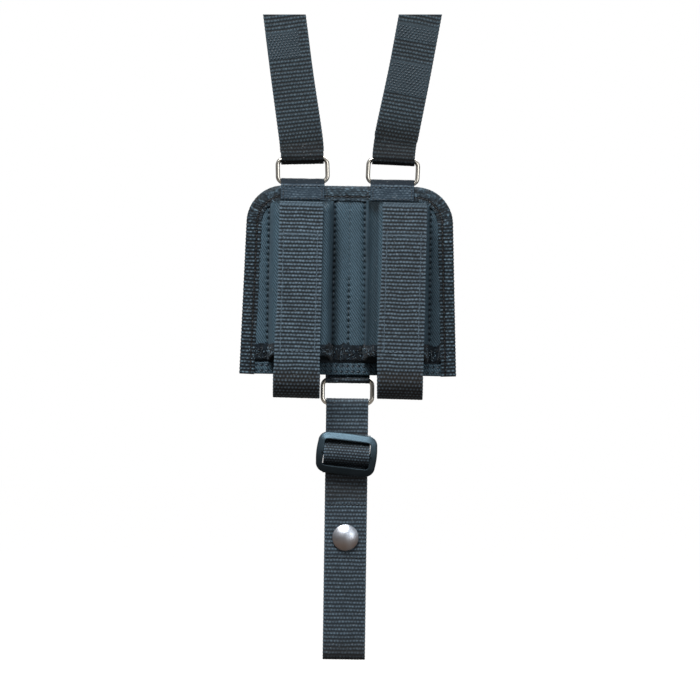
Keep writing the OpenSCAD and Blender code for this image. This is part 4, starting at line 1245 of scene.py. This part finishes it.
def flap(side_name, cx):
    body = side_name + "_flap"
    seed = 100 if side_name == "left" else 140
    front = [[YC_FLAP, FOLD_Z], [YC_FLAP - 0.15, -30], [YC_FLAP, 0], [YC_FLAP - 0.05, 26], [YC_FLAP + 0.25, 36], [YC_FLAP + 0.1, Z_FLAP_TOP]]
    path = np.concatenate([[[YC_CORE, -HH + 13]], arc_pts(FOLD_Y, FOLD_Z, FOLD_R, 0, -180, 60), catmull(front, 10)[1:]])
    total_front = Z_FLAP_TOP - FOLD_Z
    length = 15.3 + math.pi * FOLD_R + total_front

    def soft(U, v):
        z = Z_FLAP_TOP - (length - v)
        k = smoothstep(Z_FLAP_TOP - 3.2, Z_FLAP_TOP - 1.8, z) * 0.75           # turned, heat-sealed end
        k = np.maximum(k, 0.55 * np.exp(-((z - 25.5) / 1.1) ** 2))             # row of stitches across
        k = np.maximum(k, 0.30 * np.exp(-((np.abs(U) - 9.8) / 0.5) ** 2) * (z < 25.5) * (z > -42))
        return k

    # painted shade: darker on the bottom fold where the webbing turns under; the right flap is also kept darker overall
    def tone(U, v, Pz):
        z = Z_FLAP_TOP - (length - v)
        t = (0.95 if side_name == "left" else 0.83) - 0.34 * smoothstep(-51, -55, z)
        return t + 0 * U

    def wfun(v):
        z = Z_FLAP_TOP - (length - v)
        k = smoothstep(-49.5, -54.5, z)
        if side_name == "left":
            return 0.985 + 0.045 * smoothstep(0, -45, z) + 0.03 * k, -0.1 * k
        return 1.0 + 0.05 * smoothstep(10, -40, z) - 0.02 * k, 0.1 * k

    def post(V, U, v):
        wob = 0.35 * vnoise(v * 0.03, seed + 9)
        V = V.copy()
        V[:, 0] += wob
        return place_flap(V, cx)
    ob = webbing(side_name + "_flap_webbing", path, 25.4, pv=2.14, pu=1.94, mat=M["flap"], seed=seed, soft=soft, tone=tone, wfun=wfun, post=post, jitter=1.35,
                 dash=lambda U, v: 0.36 + 0.36 * smoothstep(-50, -54, Z_FLAP_TOP - (length - v)))
    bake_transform(ob)
    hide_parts(side_name + "_flap_anchor", side_name + "_flap_strap")
    # stitches that hold the hook tape behind the flap
    y = YC_FLAP - 0.7 - 0.02
    items = []

    def q(x, z):
        return place_flap(np.array([[x, y, z]]), cx)[0]
    for sx in (-9.8, 9.8):
        z = -41.5
        while z < 25:
            items.append((q(sx, z + 0.15), q(sx, z + 2.6), (0, -1, 0)))
            z += 2.65
    x = -9.4
    while x < 9.2:
        items.append((q(x, 25.5), q(x + 2.0, 25.5), (0, -1, 0)))
        x += 2.7
    x = -9.4
    while x < 9.2:
        items.append((q(x, -41.5), q(x + 2.0, -41.5), (0, -1, 0)))
        x += 2.7
    st = stitches(side_name + "_flap_stitches", items, M["thread_flap"], width=0.42, height=0.36, seed=seed + 3)
    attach(st, body)
    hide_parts(side_name + "_flap_stitching")
    # hook tape on the flap, loop tape on the pocket
    b0, b1 = nbox(side_name + "_hook_tape")

    def hooks(name, w, z0, z1, yf, yb, mat, body, nodes, fine, placed):
        nx, nz = int(w / 0.55) + 1, int((z1 - z0) / 0.55) + 1
        a = np.linspace(-w / 2, w / 2, nx)
        b = np.linspace(z0, z1, nz)
        X, Z = np.meshgrid(a, b)
        X, Z = X.ravel(), Z.ravel()
        r = vnoise(np.stack([X * fine, Z * fine], 1), seed + 5)
        edge = np.minimum(np.minimum(X + w / 2, w / 2 - X), np.minimum(Z - z0, z1 - Z))
        h = (0.65 + 0.35 * r) * smoothstep(-0.1, 0.8, edge)
        lo, hi = (yf, yb)
        return X, Z, h
    # hook tape: its hooks face the pocket (+Y)
    for kind, w, z0, z1, ybase, ytip, mat, bd, nd, placed, fine in (
        ("hook", 21.0, -41.5, 26.5, float(b0[1]) + 0.02, float(b1[1]) - 0.02, M["hook"], body, side_name + "_hook_tape", True, 1.5),
        ("loop", 22.0, Z_LIP + 2, Z_PTOP - 5, Y_FACE - 0.08, Y_FACE - 0.98, M["loop"], "panel", side_name + "_loop_tape", False, 0.9),
    ):
        nx, nz = int(w / 0.6) + 1, int((z1 - z0) / 0.6) + 1
        X, Z = np.meshgrid(np.linspace(-w / 2, w / 2, nx), np.linspace(z0, z1, nz))
        X, Z = X.ravel(), Z.ravel()
        r = vnoise(np.stack([X * fine, Z * fine], 1), seed + 5)
        edge = np.minimum(np.minimum(X + w / 2, w / 2 - X), np.minimum(Z - z0, z1 - Z))
        h = np.clip((0.62 + 0.38 * r), 0.1, 1) * smoothstep(-0.3, 1.2, edge)
        yt = ybase + (ytip - ybase) * (0.45 + 0.55 * h)
        yb_ = np.full_like(yt, ybase)
        A3 = np.stack([X, yt, Z], 1).reshape(nz, nx, 3)
        B3 = np.stack([X, yb_, Z], 1).reshape(nz, nx, 3)
        V = np.concatenate([A3, B3[:, ::-1]], 1).reshape(-1, 3)
        cav = np.concatenate([h.reshape(nz, nx), h.reshape(nz, nx)[:, ::-1]], 1).ravel()
        if placed:
            V = place_flap(V, cx)
        else:
            V = V + [cx, 0, 0]
        o = build(f"{side_name}_{kind}_tape_pile", V, tube_faces(nz, 2 * nx), {"cav": cav, "tone": np.ones(len(V))}, mat=mat)
        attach(o, bd)
        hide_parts(nd)


# ------------------------------------------------------------------ shoulder straps
def shoulder(side_name):
    sg = -1 if side_name == "left" else 1
    cx = X_RING[side_name]
    tilt, lean = TILT[side_name], LEAN[side_name]
    body = side_name + "_shoulder"
    rear_h = 74 if side_name == "left" else 57
    r = WIRE_R + 0.85 + 0.7
    c = 0.74
    top = (STRAP_TOP - Z_BAR_HIGH) / math.cos(tilt) + 6
    path = np.array([[c, rear_h], [c, 9], [1.7, 5], [r, 1.2]] + arc_pts(0, 0, r, 0, -180, 30).tolist() + [[-r, 1.2], [-1.7, 5], [-c, 9], [-c, top]])
    phi_end = sg * (lean - abs(tilt))      # lean in the ring's own frame; positive leans to +X
    slope = math.tan(phi_end)

    def xfun(z):
        z = np.asarray(z, float)
        zz = np.clip(z, 0, None)
        k = 14.0
        # slope rises smoothly from 0 to its full value over k mm, and the strap still ends where the straight one would
        x = np.where(zz < k, slope * zz ** 2 / (2 * k), slope * (zz - k / 2))
        return x + slope * k / 2 * smoothstep(0, 60, zz)

    def rowfun(z):
        z = np.clip(np.asarray(z, float), 0, None)
        return -phi_end * smoothstep(0, 16, z)
    cv, sv = math.cos(tilt), math.sin(tilt)
    # pivot: the lower bar; the upper bar sits 2 * RING_Z above it in the ring's frame
    base = np.array([cx, Y_RING, Z_BAR_LOW])

    def post(V, U, v):
        x, y, z = V[:, 0], V[:, 1], V[:, 2] + 2 * RING_Z
        return np.stack([x * cv + z * sv, y, -x * sv + z * cv], 1) + base

    if side_name == "left":
        patches = [(58, 73.5, -12.4, 6.5)]
    else:
        patches = [(38, 57, -12.4, 12.4), (69.5, 79, -12.4, 12.4)]

    L, s = smooth_path(path, 0.25, rounds=0.5)
    total = s[-1]

    def soft(U, v):
        z = top - (total - v)
        k = np.zeros(len(U))
        front = v > total / 2 + 0 * v
        for z0, z1, u0, u1 in patches:
            m = smoothstep(z0 - 0.8, z0 + 0.8, z) * smoothstep(z1 + 0.8, z1 - 0.8, z) * smoothstep(u0 - 0.6, u0 + 0.6, U) * smoothstep(u1 + 0.6, u1 - 0.6, U)
            k = np.maximum(k, 0.85 * m)
        return k * (v > rear_h + 10)

    # painted shade: darker towards the ring, where the strap wraps the bar; also 24 % darker on the stitched patches
    def tone(U, v, Pz):
        z = top - (total - v)
        front = v > rear_h
        if side_name == "left":
            t = 0.93 - 0.52 * smoothstep(15, 6, Pz) - 0.20 * smoothstep(3.5, -2.0, Pz)
        else:
            t = 0.87 - 0.44 * smoothstep(28, 9, Pz) - 0.22 * smoothstep(3.5, -2.0, Pz)
        for z0, z1, u0, u1 in patches:
            m = smoothstep(z0 - 0.8, z0 + 0.8, z) * smoothstep(z1 + 0.8, z1 - 0.8, z) * smoothstep(u0 - 0.6, u0 + 0.6, U) * smoothstep(u1 + 0.6, u1 - 0.6, U)
            t = t * (1 - 0.24 * m)
        return np.clip(t, 0.05, 1) + 0 * U
    seed = 200 if side_name == "left" else 240
    low_dash = 0.22 if side_name == "left" else 0.42

    def wfun(v):
        z = np.abs(top - (total - v)) * (v > total / 2) + 200.0 * (v <= total / 2)
        return 1.0 + 0.028 * smoothstep(60, 8, z), 0 * v
    ob = webbing(side_name + "_shoulder_webbing", path, 24.6, pv=2.2, pu=1.9, mat=M["shoulder"], seed=seed, xfun=xfun, rowfun=rowfun,
                 soft=soft, tone=tone, post=post, jitter=1.4, wfun=wfun, dash=lambda U, v: 0.42 + low_dash * smoothstep(24, 12, top - (total - v)) * (v > total / 2))
    # the straight trimmed end
    import bmesh
    bm = bmesh.new()
    bm.from_mesh(ob.data)
    geom = bm.verts[:] + bm.edges[:] + bm.faces[:]
    res = bmesh.ops.bisect_plane(bm, geom=geom, plane_co=(0, 0, (STRAP_TOP - 0.75) * MM), plane_no=Vector((-0.014, 0, 1)).normalized(), clear_outer=True)
    edges = [e for e in res["geom_cut"] if isinstance(e, bmesh.types.BMEdge)]
    bmesh.ops.holes_fill(bm, edges=[e for e in bm.edges if e.is_boundary], sides=0)
    bm.to_mesh(ob.data)
    bm.free()
    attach(ob, body)
    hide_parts(side_name + "_shoulder_strap")
    # dense stitches on the patches
    items = []
    yf = -c - 0.7 - 0.0
    row = 1.45
    for z0, z1, u0, u1 in patches:
        n = int((z1 - z0 - 1) / row)
        for i in range(n):
            z = z0 + 1.0 + i * row
            u = max(u0, -11.4) + (1.05 if i % 2 else 0)
            while u < min(u1, 11.2) - 0.8:
                sl = 0.45
                p0 = np.array([[u, yf, z - sl], [u + 1.25, yf, z + sl]])
                q = []
                for pu_, py_, pz_ in p0:
                    x_ = xfun(np.array([pz_]))[0] + pu_ * math.cos(phi_end)
                    z_ = pz_ - pu_ * math.sin(phi_end)
                    q.append(post(np.array([[x_, py_, z_]]), None, None)[0])
                if max(q[0][2], q[1][2]) < STRAP_TOP - 1:
                    items.append((q[0], q[1], (0, -1, 0)))
                u += 2.1
    st = stitches(side_name + "_shoulder_stitches", items, M["thread_patch"], width=0.75, height=0.36, seed=seed + 3)
    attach(st, body)
    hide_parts(side_name + "_shoulder_stitching")


# ------------------------------------------------------------------ drop strap
def drop_strap():
    r = WIRE_R + 0.4 + 0.7
    yf, yr = YC_CORE - 1.5, YC_CORE + 1.5
    zb = Z_BAR_DROP
    path = np.array([[yr, zb - 41], [yr, zb - 8], [YC_CORE + 2.1, zb - 4.4], [YC_CORE + r, zb - 1]] + arc_pts(YC_CORE, zb, r, 0, 180, 30).tolist()
                    + [[YC_CORE - r, zb - 1], [YC_CORE - 2.1, zb - 4.4], [yf, zb - 8], [yf, zb - 32.8]])
    # travels up the rear and down the front, so the outer side is on its right: reverse it
    path = path[::-1]

    # painted shade where the loop runs into the slider
    def tone(U, v, Pz):
        return 1.0 - 0.35 * smoothstep(Z_SLIDER + 16, Z_SLIDER + 11.5, Pz) + 0 * U
    ob = webbing("adjuster_loop_webbing", path, 24.4, pv=2.2, pu=1.85, mat=M["drop"], seed=300, tone=tone, jitter=1.3, dash=0.38)
    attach(ob, "adjuster_loop")
    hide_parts("adjuster_loop")
    # belt strap with its fold and tail, one strip
    path = np.concatenate([[[YC_TAIL, Z_SNAP + 13.9]], arc_pts(LOOP_Y, LOOP_Z, LOOP_R, 0, -180, 40), [[YC_CORE, -190], [YC_CORE - 0.0, -150], [YC_CORE, Z_SLIDER + 5.5]]])
    z_rows = [float(nbox("snap_patch")[1][2]) - 1.2, float(nbox("snap_patch")[0][2]) + 1.2]

    def soft(U, v):
        return np.zeros(len(U))

    # painted shade on the bottom fold, and a painted shadow of the slider down to about z -124
    def belt_painted_shade(U, v, Pz):
        t = 0.95 - 0.42 * smoothstep(-203, -216, Pz) - 0.12 * smoothstep(-213.5, -218, Pz)
        t = t - 0.42 * smoothstep(-131.5, -124, Pz) - 0.06 * smoothstep(Z_SLIDER - 17, Z_SLIDER - 12.5, Pz)
        return t + 0 * U

    def post(V, U, v):
        V = V.copy()
        z = V[:, 2]
        # dents under the stitch rows
        for zr in z_rows:
            g = np.exp(-((z - zr) / 0.8) ** 2) * (V[:, 1] < -2.2)
            V[:, 1] += 0.22 * g * (V[:, 1] < YC_CORE)
        V[:, 0] += 0.5 * np.clip((z + 140) / -80, 0, 1) * 0
        return V
    ob = webbing("belt_strap_webbing", path, 24.5, pv=2.22, pu=1.85, mat=M["drop"], seed=330, tone=belt_painted_shade, post=post, jitter=1.4, dash=0.44)
    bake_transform(ob)
    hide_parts("belt_strap", "belt_loop_tail")
    # patch behind the snap
    b0, b1 = nbox("snap_patch")
    yc = (b0[1] + b1[1]) / 2
    path = np.array([[yc, b0[2]], [yc, b1[2]]])
    ob = webbing("snap_patch_webbing", path, 23.4, t=1.3, pv=2.2, pu=2.1, amp=0.34, mat=M["drop"], seed=350)
    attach(ob, "belt_strap")
    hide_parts("snap_patch")
    items = []
    y = YC_CORE - 0.7
    for zr in z_rows:
        x = -11.4
        while x < 10.5:
            items.append(((x, y + 0.02, zr), (x + 2.0, y + 0.02, zr), (0, -1, 0)))
            x += 2.4
    st = stitches("belt_strap_stitches", items, M["thread_patch"], width=0.7, height=0.42, seed=9)
    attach(st, "belt_strap")
    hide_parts("belt_strap_stitching")


def slider_rot(V, deg=6.0):
    a = math.radians(deg)
    c, s = math.cos(a), math.sin(a)
    return np.stack([V[:, 0] * c + V[:, 2] * s, V[:, 1] + Y_SLIDER, -V[:, 0] * s + V[:, 2] * c + Z_SLIDER], 1)


def superrect(w, h, r, bulge_x, bulge_z, n):
    """Rounded rectangle with slightly convex sides, in even steps along each side and each corner, starting at the
    right-hand middle; n is not used.
    """
    pts = []
    hw, hh_ = w / 2, h / 2
    m = 40
    # right side up, top leftwards, left side down, bottom rightwards
    segs = []
    def side(p, q, bulge):
        p, q = np.array(p, float), np.array(q, float)
        t = np.linspace(0, 1, m, endpoint=False)[:, None]
        d = q - p
        nrm = np.array([d[1], -d[0]]) / np.linalg.norm(d)
        return p + d * t + nrm * bulge * (4 * t * (1 - t))
    def corner(cx, cz, a0):
        a = np.radians(np.linspace(a0, a0 + 90, 16, endpoint=False))
        return np.stack([cx + r * np.cos(a), cz + r * np.sin(a)], 1)
    segs.append(side([hw, 0], [hw, hh_ - r], 0))
    segs.append(corner(hw - r, hh_ - r, 0))
    segs.append(side([hw - r, hh_], [-hw + r, hh_], bulge_z))
    segs.append(corner(-hw + r, hh_ - r, 90))
    segs.append(side([-hw, hh_ - r], [-hw, -hh_ + r], bulge_x))
    segs.append(corner(-hw + r, -hh_ + r, 180))
    segs.append(side([-hw + r, -hh_], [hw - r, -hh_], bulge_z))
    segs.append(corner(hw - r, -hh_ + r, 270))
    segs.append(side([hw, -hh_ + r], [hw, 0], 0))
    P = np.concatenate(segs)
    P = np.concatenate([P, P[:1]])
    # bulge the right side too
    k = (P[:, 0] > hw - 1e-6)
    P[k, 0] += bulge_x * (1 - (P[k, 1] / (hh_ - r)) ** 2).clip(0, 1)
    return P


def slider():
    n = 220
    O = superrect(34.3, 23.6, 5.6, 0.45, 0.3, n)
    I = superrect(26.6, 15.0, 1.6, 0.0, 0.0, n)
    # match the two loops by angle from the middle
    ang = np.linspace(0, 2 * np.pi, n, endpoint=False)

    def at(P):
        a = np.unwrap(np.arctan2(P[:, 1], P[:, 0]))
        a = a - a[0]
        return np.stack([np.interp(ang, a, P[:, 0]), np.interp(ang, a, P[:, 1])], 1)
    # parametrise by arc fraction instead, which keeps corners to corners
    def frac(P):
        L = np.concatenate([[0], np.cumsum(np.linalg.norm(np.diff(P, axis=0), axis=1))])
        return L / L[-1]
    fo, fi = frac(O), frac(I)
    q = np.linspace(0, 1, n, endpoint=False)
    Oq = np.stack([np.interp(q, fo, O[:, 0]), np.interp(q, fo, O[:, 1])], 1)
    Iq = np.stack([np.interp(q, fi, I[:, 0]), np.interp(q, fi, I[:, 1])], 1)
    th = 3.3 / 2
    # D-shaped bar: flat at the rear, rounded at the front
    prof = [(0.0, 0.05), (0.01, -0.50), (0.04, -0.86), (0.09, -0.98), (0.15, -0.99), (0.24, -0.90), (0.38, -0.73), (0.54, -0.54), (0.70, -0.35), (0.84, -0.17), (0.93, 0.02), (0.98, 0.28), (1.0, 0.55),
            (0.985, 0.85), (0.93, 0.99), (0.5, 1.0), (0.12, 0.99), (0.03, 0.8), (0.0, 0.4)]      # 0 at the inner edge, 1 at the outer
    prof = [(f, y * th) for f, y in prof]
    prof = np.array(prof)
    nc = len(prof)
    V = np.zeros((n, nc, 3))
    for k in range(nc):
        f, y = prof[k]
        p = Iq * (1 - f) + Oq * f
        V[:, k, 0], V[:, k, 1], V[:, k, 2] = p[:, 0], y, p[:, 1]
    i = np.arange(n)[:, None] * nc
    i2 = (np.arange(n) + 1)[:, None] % n * nc
    j = np.arange(nc)[None]
    k = (j + 1) % nc
    F = np.stack([i + j, i + k, i2 + k, i2 + j], -1).reshape(-1, 4)
    cavs = np.tile(np.where((prof[:, 0] > 0.9) | (prof[:, 0] < 0.1), 0.6, 0.0), n)
    V = V.reshape(-1, 3)
    # painted reflection: 'tone' rises from the lower bar to the upper bar, and is low on the centre bar
    painted_reflection = 0.13 + 0.52 * smoothstep(-4.5, 8.0, V[:, 2] - 0.08 * V[:, 0])
    parts = [(V, F, {"cav": cavs, "tone": painted_reflection})]
    # centre bar
    xs = np.linspace(-14.6, 14.6, 60)
    tt = np.linspace(0, 2 * np.pi, 16, endpoint=False)
    rr = 1.45 + 0.5 * smoothstep(12.6, 14.4, np.abs(xs))
    B = np.stack([np.repeat(xs, 16), np.outer(rr, np.cos(tt)).ravel() * 0.98, np.outer(rr, np.sin(tt)).ravel()], 1)
    Fb = tube_faces(len(xs), 16)
    parts.append((B, Fb, {"cav": np.zeros(len(B)), "tone": np.full(len(B), 0.15)}))
    V, F, A = join(parts)
    ob = build("slider_frame", slider_rot(V), F, A, mat=M["plastic"])
    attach(ob, "slider")
    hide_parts("adjuster_slider")
    # webbing over the centre bar
    c = float((nbox("slider_webbing")[1][1])) - 0.625 - Y_SLIDER
    half = [[c, 11.5], [c, 6.9], [1.4, 6.0], [0, 5.2], [-1.5, 4.1], [-2.4, 2.3]]
    path = np.array(half + [[-2.7, 0]] + [[p[0], -p[1]] for p in half[::-1]])[::-1]

    # painted shade: darker at both ends, where the webbing passes behind the slider's bars
    def tone(U, v, Pz):
        return 0.86 - 0.50 * smoothstep(2.6, 5.5, Pz) - 0.56 * smoothstep(-1.4, -5.0, Pz) + 0 * U
    ob = webbing("slider_webbing_run", path, 26.5, t=1.25, pv=1.65, pu=1.75, amp=0.34, mat=M["run"], seed=360, tone=tone, dash=0.6,
                 post=lambda V, U, v: slider_rot(V, 3.2))
    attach(ob, "slider")
    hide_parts("slider_webbing")


# ------------------------------------------------------------------ snap
def lathe(prof, n=72, wob=None):
    """prof: (r, h) points from the axis out and back to the axis; h is towards the front. Closed at both ends on the axis."""
    prof = np.array(prof, float)
    th = np.linspace(0, 2 * np.pi, n, endpoint=False)
    m = len(prof)
    V = np.zeros((m, n, 3))
    V[:, :, 0] = prof[:, 0][:, None] * np.cos(th)[None]
    V[:, :, 2] = prof[:, 0][:, None] * np.sin(th)[None]
    V[:, :, 1] = -prof[:, 1][:, None]
    F = tube_faces(m, n, cap=False)
    V = V.reshape(-1, 3)
    # close the ends with a fan round an axis point
    a, b = len(V), len(V) + 1
    V = np.concatenate([V, [[0, -prof[0, 1], 0], [0, -prof[-1, 1], 0]]])
    j = np.arange(n)
    k = (j + 1) % n
    f0 = np.stack([k, j, np.full(n, a), np.full(n, a)], 1)
    e = (m - 1) * n
    f1 = np.stack([e + j, e + k, np.full(n, b), np.full(n, b)], 1)
    return V, np.concatenate([F, f0, f1])


def snap():
    r = SNAP_R
    y = float(nbox("snap_cap")[0][1])            # front of the dome
    H = 3.95                                     # dome and rim above the strap
    dome = []
    big = (r * r + 3.2 ** 2) / (2 * 3.2)
    for t in np.linspace(0, 1, 26):
        rr = 0.03 + (r - 0.55) * t
        dome.append([rr, H - (big - math.sqrt(big * big - rr * rr))])
    hb = dome[-1][1]
    rim = [[r - 0.28, hb - 0.18], [r - 0.06, hb - 0.42], [r, hb - 0.75], [r - 0.08, 0.22], [r - 0.3, 0.06], [r - 0.9, 0.02], [2.05, 0.02], [2.0, -0.1], [2.0, -3.1], [0.03, -3.1]]
    V, F = lathe(dome + rim, 96)
    # a shallow dent and a slightly uneven spun surface
    rad = np.hypot(V[:, 0], V[:, 2])
    V[:, 1] += 0.12 * np.exp(-((V[:, 0] - 1.2) ** 2 + (V[:, 2] - 0.8) ** 2) / 3.0) * (V[:, 1] < -1.5)
    V[:, 1] += 0.02 * np.sin(rad * 9) * (V[:, 1] < -1.5)
    V = V + [0, y + H, Z_SNAP]
    px, pz = V[:, 0] - V[:, 0].mean(), V[:, 2] - Z_SNAP
    # painted reflection: silver on the upper right, browner below and on the left flank
    shade = smoothstep(-5.5, 4.0, pz) * (0.70 + 0.30 * smoothstep(-6.5, 1.5, px)) + 0.20 * np.exp(-((px - 2.6) / 1.9) ** 2)
    ob = build("snap_cap_dome", V, F, {"cav": np.ones(len(V)), "tone": np.clip(shade, 0, 1)}, mat=M["snap"])
    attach(ob, "belt_strap")
    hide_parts("snap_cap")
    # socket, open towards the rear
    ys = float(nbox("snap_socket")[0][1])
    prof = [[2.15, -0.02], [6.0, -0.05], [6.3, -0.3], [6.25, -0.95], [5.9, -1.18], [4.95, -1.2], [4.75, -1.6], [4.7, -2.3], [4.4, -2.66], [3.9, -2.68], [3.3, -2.4], [3.22, -1.9],
            [3.3, -0.6], [2.2, -0.52], [2.12, -0.3]]
    prof.append(prof[0])
    prof = np.array(prof)
    n = 64
    th = np.linspace(0, 2 * np.pi, n, endpoint=False)
    P = prof[:-1]
    V = np.stack([np.outer(P[:, 0], np.cos(th)).ravel(), np.repeat(-P[:, 1], n), np.outer(P[:, 0], np.sin(th)).ravel()], 1)
    m = len(P)
    i = np.arange(m)[:, None] * n
    i2 = (np.arange(m) + 1)[:, None] % m * n
    j = np.arange(n)[None]
    F = np.stack([i + j, i + (j + 1) % n, i2 + (j + 1) % n, i2 + j], -1).reshape(-1, 4)
    ob = build("snap_socket_ring", V + [0, ys, Z_SNAP], F, {"cav": np.ones(len(V)), "tone": np.ones(len(V))}, mat=M["snap"])
    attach(ob, "belt_strap")
    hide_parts("snap_socket")
    # stud on the tail, facing forwards
    yt = float(nbox("snap_stud")[1][1])
    prof = [[0.03, 3.0], [2.2, 2.98], [2.75, 2.8], [2.9, 2.5], [2.8, 2.2], [2.5, 2.05], [2.45, 1.0], [2.8, 0.78], [4.2, 0.66], [5.3, 0.62], [5.65, 0.45], [5.7, 0.2], [5.5, 0.02], [0.03, 0.02]]
    V, F = lathe(prof, 64)
    ob = build("snap_stud_post", V + [0, yt, Z_SNAP], F, {"cav": np.ones(len(V)), "tone": np.ones(len(V))}, mat=M["snap"])
    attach(ob, "belt_loop_tail")
    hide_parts("snap_stud")
    # rolled eyelet behind it
    b0, b1 = nbox("snap_stud_back")
    yb = float(b1[1])
    prof = np.array([[1.25, 0.0], [1.6, 0.0], [2.6, 0.06], [4.2, 0.02], [5.1, 0.15], [5.45, 0.45], [5.45, 0.78], [5.2, 0.88], [2.05, 0.88], [1.98, 1.0], [1.98, 2.25], [1.25, 2.25]])
    V = np.stack([np.outer(prof[:, 0], np.cos(th)).ravel(), np.repeat(-prof[:, 1], n), np.outer(prof[:, 0], np.sin(th)).ravel()], 1)
    m = len(prof)
    i = np.arange(m)[:, None] * n
    i2 = (np.arange(m) + 1)[:, None] % m * n
    F = np.stack([i + j, i + (j + 1) % n, i2 + (j + 1) % n, i2 + j], -1).reshape(-1, 4)
    ob = build("snap_stud_eyelet", V + [0, yb, Z_SNAP], F, {"cav": np.ones(len(V)), "tone": np.ones(len(V))}, mat=M["snap"])
    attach(ob, "belt_loop_tail")
    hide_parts("snap_stud_back")


# ------------------------------------------------------------------ build everything
edge_binding()
C, Nc, arc, cs = pocket_sheet()
pocket_lip(C, Nc, arc)
back_cover()
bottom_hem()
ring_tabs()
ring("left_ring_wire", "left_ring", (X_RING["left"], Y_RING, Z_BAR_LOW), TILT["left"], "left_ring")
ring("right_ring_wire", "right_ring", (X_RING["right"], Y_RING, Z_BAR_LOW), TILT["right"], "right_ring")
ring("bottom_ring_wire", "bottom_ring", (0, YC_CORE, Z_RING_DROP), 0.0, "bottom_ring")
for sn, fx in FLAPS.items():
    flap(sn, fx)
shoulder("left")
shoulder("right")
drop_strap()
slider()
snap()

for nname, mname in (("foam_pad", "foam"), ("stiffener_board", "board")):
    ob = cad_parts[nname]
    ob.data.materials.clear()
    ob.data.materials.append(M[mname])

# ------------------------------------------------------------------ stage, light, camera
scene = bpy.context.scene
bpy.ops.mesh.primitive_plane_add(size=12, location=(0, 0, -0.34))
floor = bpy.context.object
floor.name = "floor"
fm, nt, b = new_mat("floor_white")
b.inputs["Base Color"].default_value = (0.14, 0.13, 0.12, 1)
b.inputs["Roughness"].default_value = 0.9
b.inputs["Emission Color"].default_value = (1, 1, 1, 1)
flp = node(nt, "ShaderNodeLightPath")
nt.links.new(math_node(nt, "MULTIPLY", flp.outputs["Is Camera Ray"], 0.93), b.inputs["Emission Strength"])
floor.data.materials.append(fm)

world = bpy.data.worlds.new("studio")
scene.world = world
world.use_nodes = True
wn = world.node_tree
bg = wn.nodes["Background"]
lp = node(wn, "ShaderNodeLightPath")
geo = node(wn, "ShaderNodeNewGeometry")
sepw = node(wn, "ShaderNodeSeparateXYZ")
tcw = node(wn, "ShaderNodeTexCoord")
wn.links.new(tcw.outputs["Generated"], sepw.inputs[0])
wr = node(wn, "ShaderNodeValToRGB")
wr.color_ramp.elements[0].position = 0.0
wr.color_ramp.elements[0].color = (0.20, 0.17, 0.14, 1)
wr.color_ramp.elements[1].position = 1.0
wr.color_ramp.elements[1].color = (0.98, 1.0, 1.04, 1)
e = wr.color_ramp.elements.new(0.45)
e.color = (0.42, 0.42, 0.43, 1)
mp = node(wn, "ShaderNodeMapRange")
mp.inputs["From Min"].default_value = -1.0
mp.inputs["From Max"].default_value = 1.0
wn.links.new(sepw.outputs["Z"], mp.inputs["Value"])
wn.links.new(mp.outputs[0], wr.inputs[0])
bg2 = node(wn, "ShaderNodeBackground")
bg2.inputs[0].default_value = (1.0, 1.0, 1.0, 1)
bg2.inputs[1].default_value = 1.0
wn.links.new(wr.outputs[0], bg.inputs[0])
bg.inputs[1].default_value = 0.42
mixw = node(wn, "ShaderNodeMixShader")
wn.links.new(lp.outputs["Is Camera Ray"], mixw.inputs[0])
wn.links.new(bg.outputs[0], mixw.inputs[1])
wn.links.new(bg2.outputs[0], mixw.inputs[2])
wn.links.new(mixw.outputs[0], wn.nodes["World Output"].inputs[0])


def area(name, loc, target, size, energy, col=(1, 1, 1)):
    ld = bpy.data.lights.new(name, "AREA")
    ld.shape = "RECTANGLE"
    ld.size, ld.size_y = size
    ld.energy = energy
    ld.color = col
    lo = bpy.data.objects.new(name, ld)
    scene.collection.objects.link(lo)
    lo.location = loc
    lo.rotation_euler = (Vector(target) - Vector(loc)).to_track_quat("-Z", "Y").to_euler()
    return lo


area("key", (-0.25, -0.65, 0.95), (0, 0, -0.03), (0.6, 0.45), 26, (1, 1, 1))
area("fill", (0.7, -0.9, 0.15), (0, 0, -0.05), (0.7, 0.7), 4, (0.97, 0.98, 1))
area("back", (0.2, 0.9, 0.7), (0, 0, -0.05), (0.9, 0.7), 14, (1, 1, 1))

SCALE = 0.58 * MM
cam_d = bpy.data.cameras.new("camera")
cam = bpy.data.objects.new("camera", cam_d)
scene.collection.objects.link(cam)
D = 2.2
cam_d.sensor_width = 36
cam_d.lens = 36 * D / (700 * SCALE)
roll = math.radians(0.8)
# the picture's middle in the object's frame
px, py = 350 - 349, 280.5 - 350
mx = (px * math.cos(roll) - py * math.sin(roll)) * SCALE
mz = (px * math.sin(roll) + py * math.cos(roll)) * SCALE
cx_ = (350 + (350 - 280) * 0.014 - 349) * SCALE
cz_ = (280.5 - 350) * SCALE
cam.location = (cx_, -D, cz_)
rotm = Matrix.Rotation(math.radians(90), 4, "X")
cam.matrix_world = Matrix.Translation((cx_, -D, cz_)) @ Matrix.Rotation(-roll, 4, "Y") @ rotm
cam_d.clip_end = 50
scene.camera = cam
scene.view_settings.view_transform = "Standard"
scene.view_settings.look = "None"
scene.view_settings.exposure = 0
scene.view_settings.gamma = 1
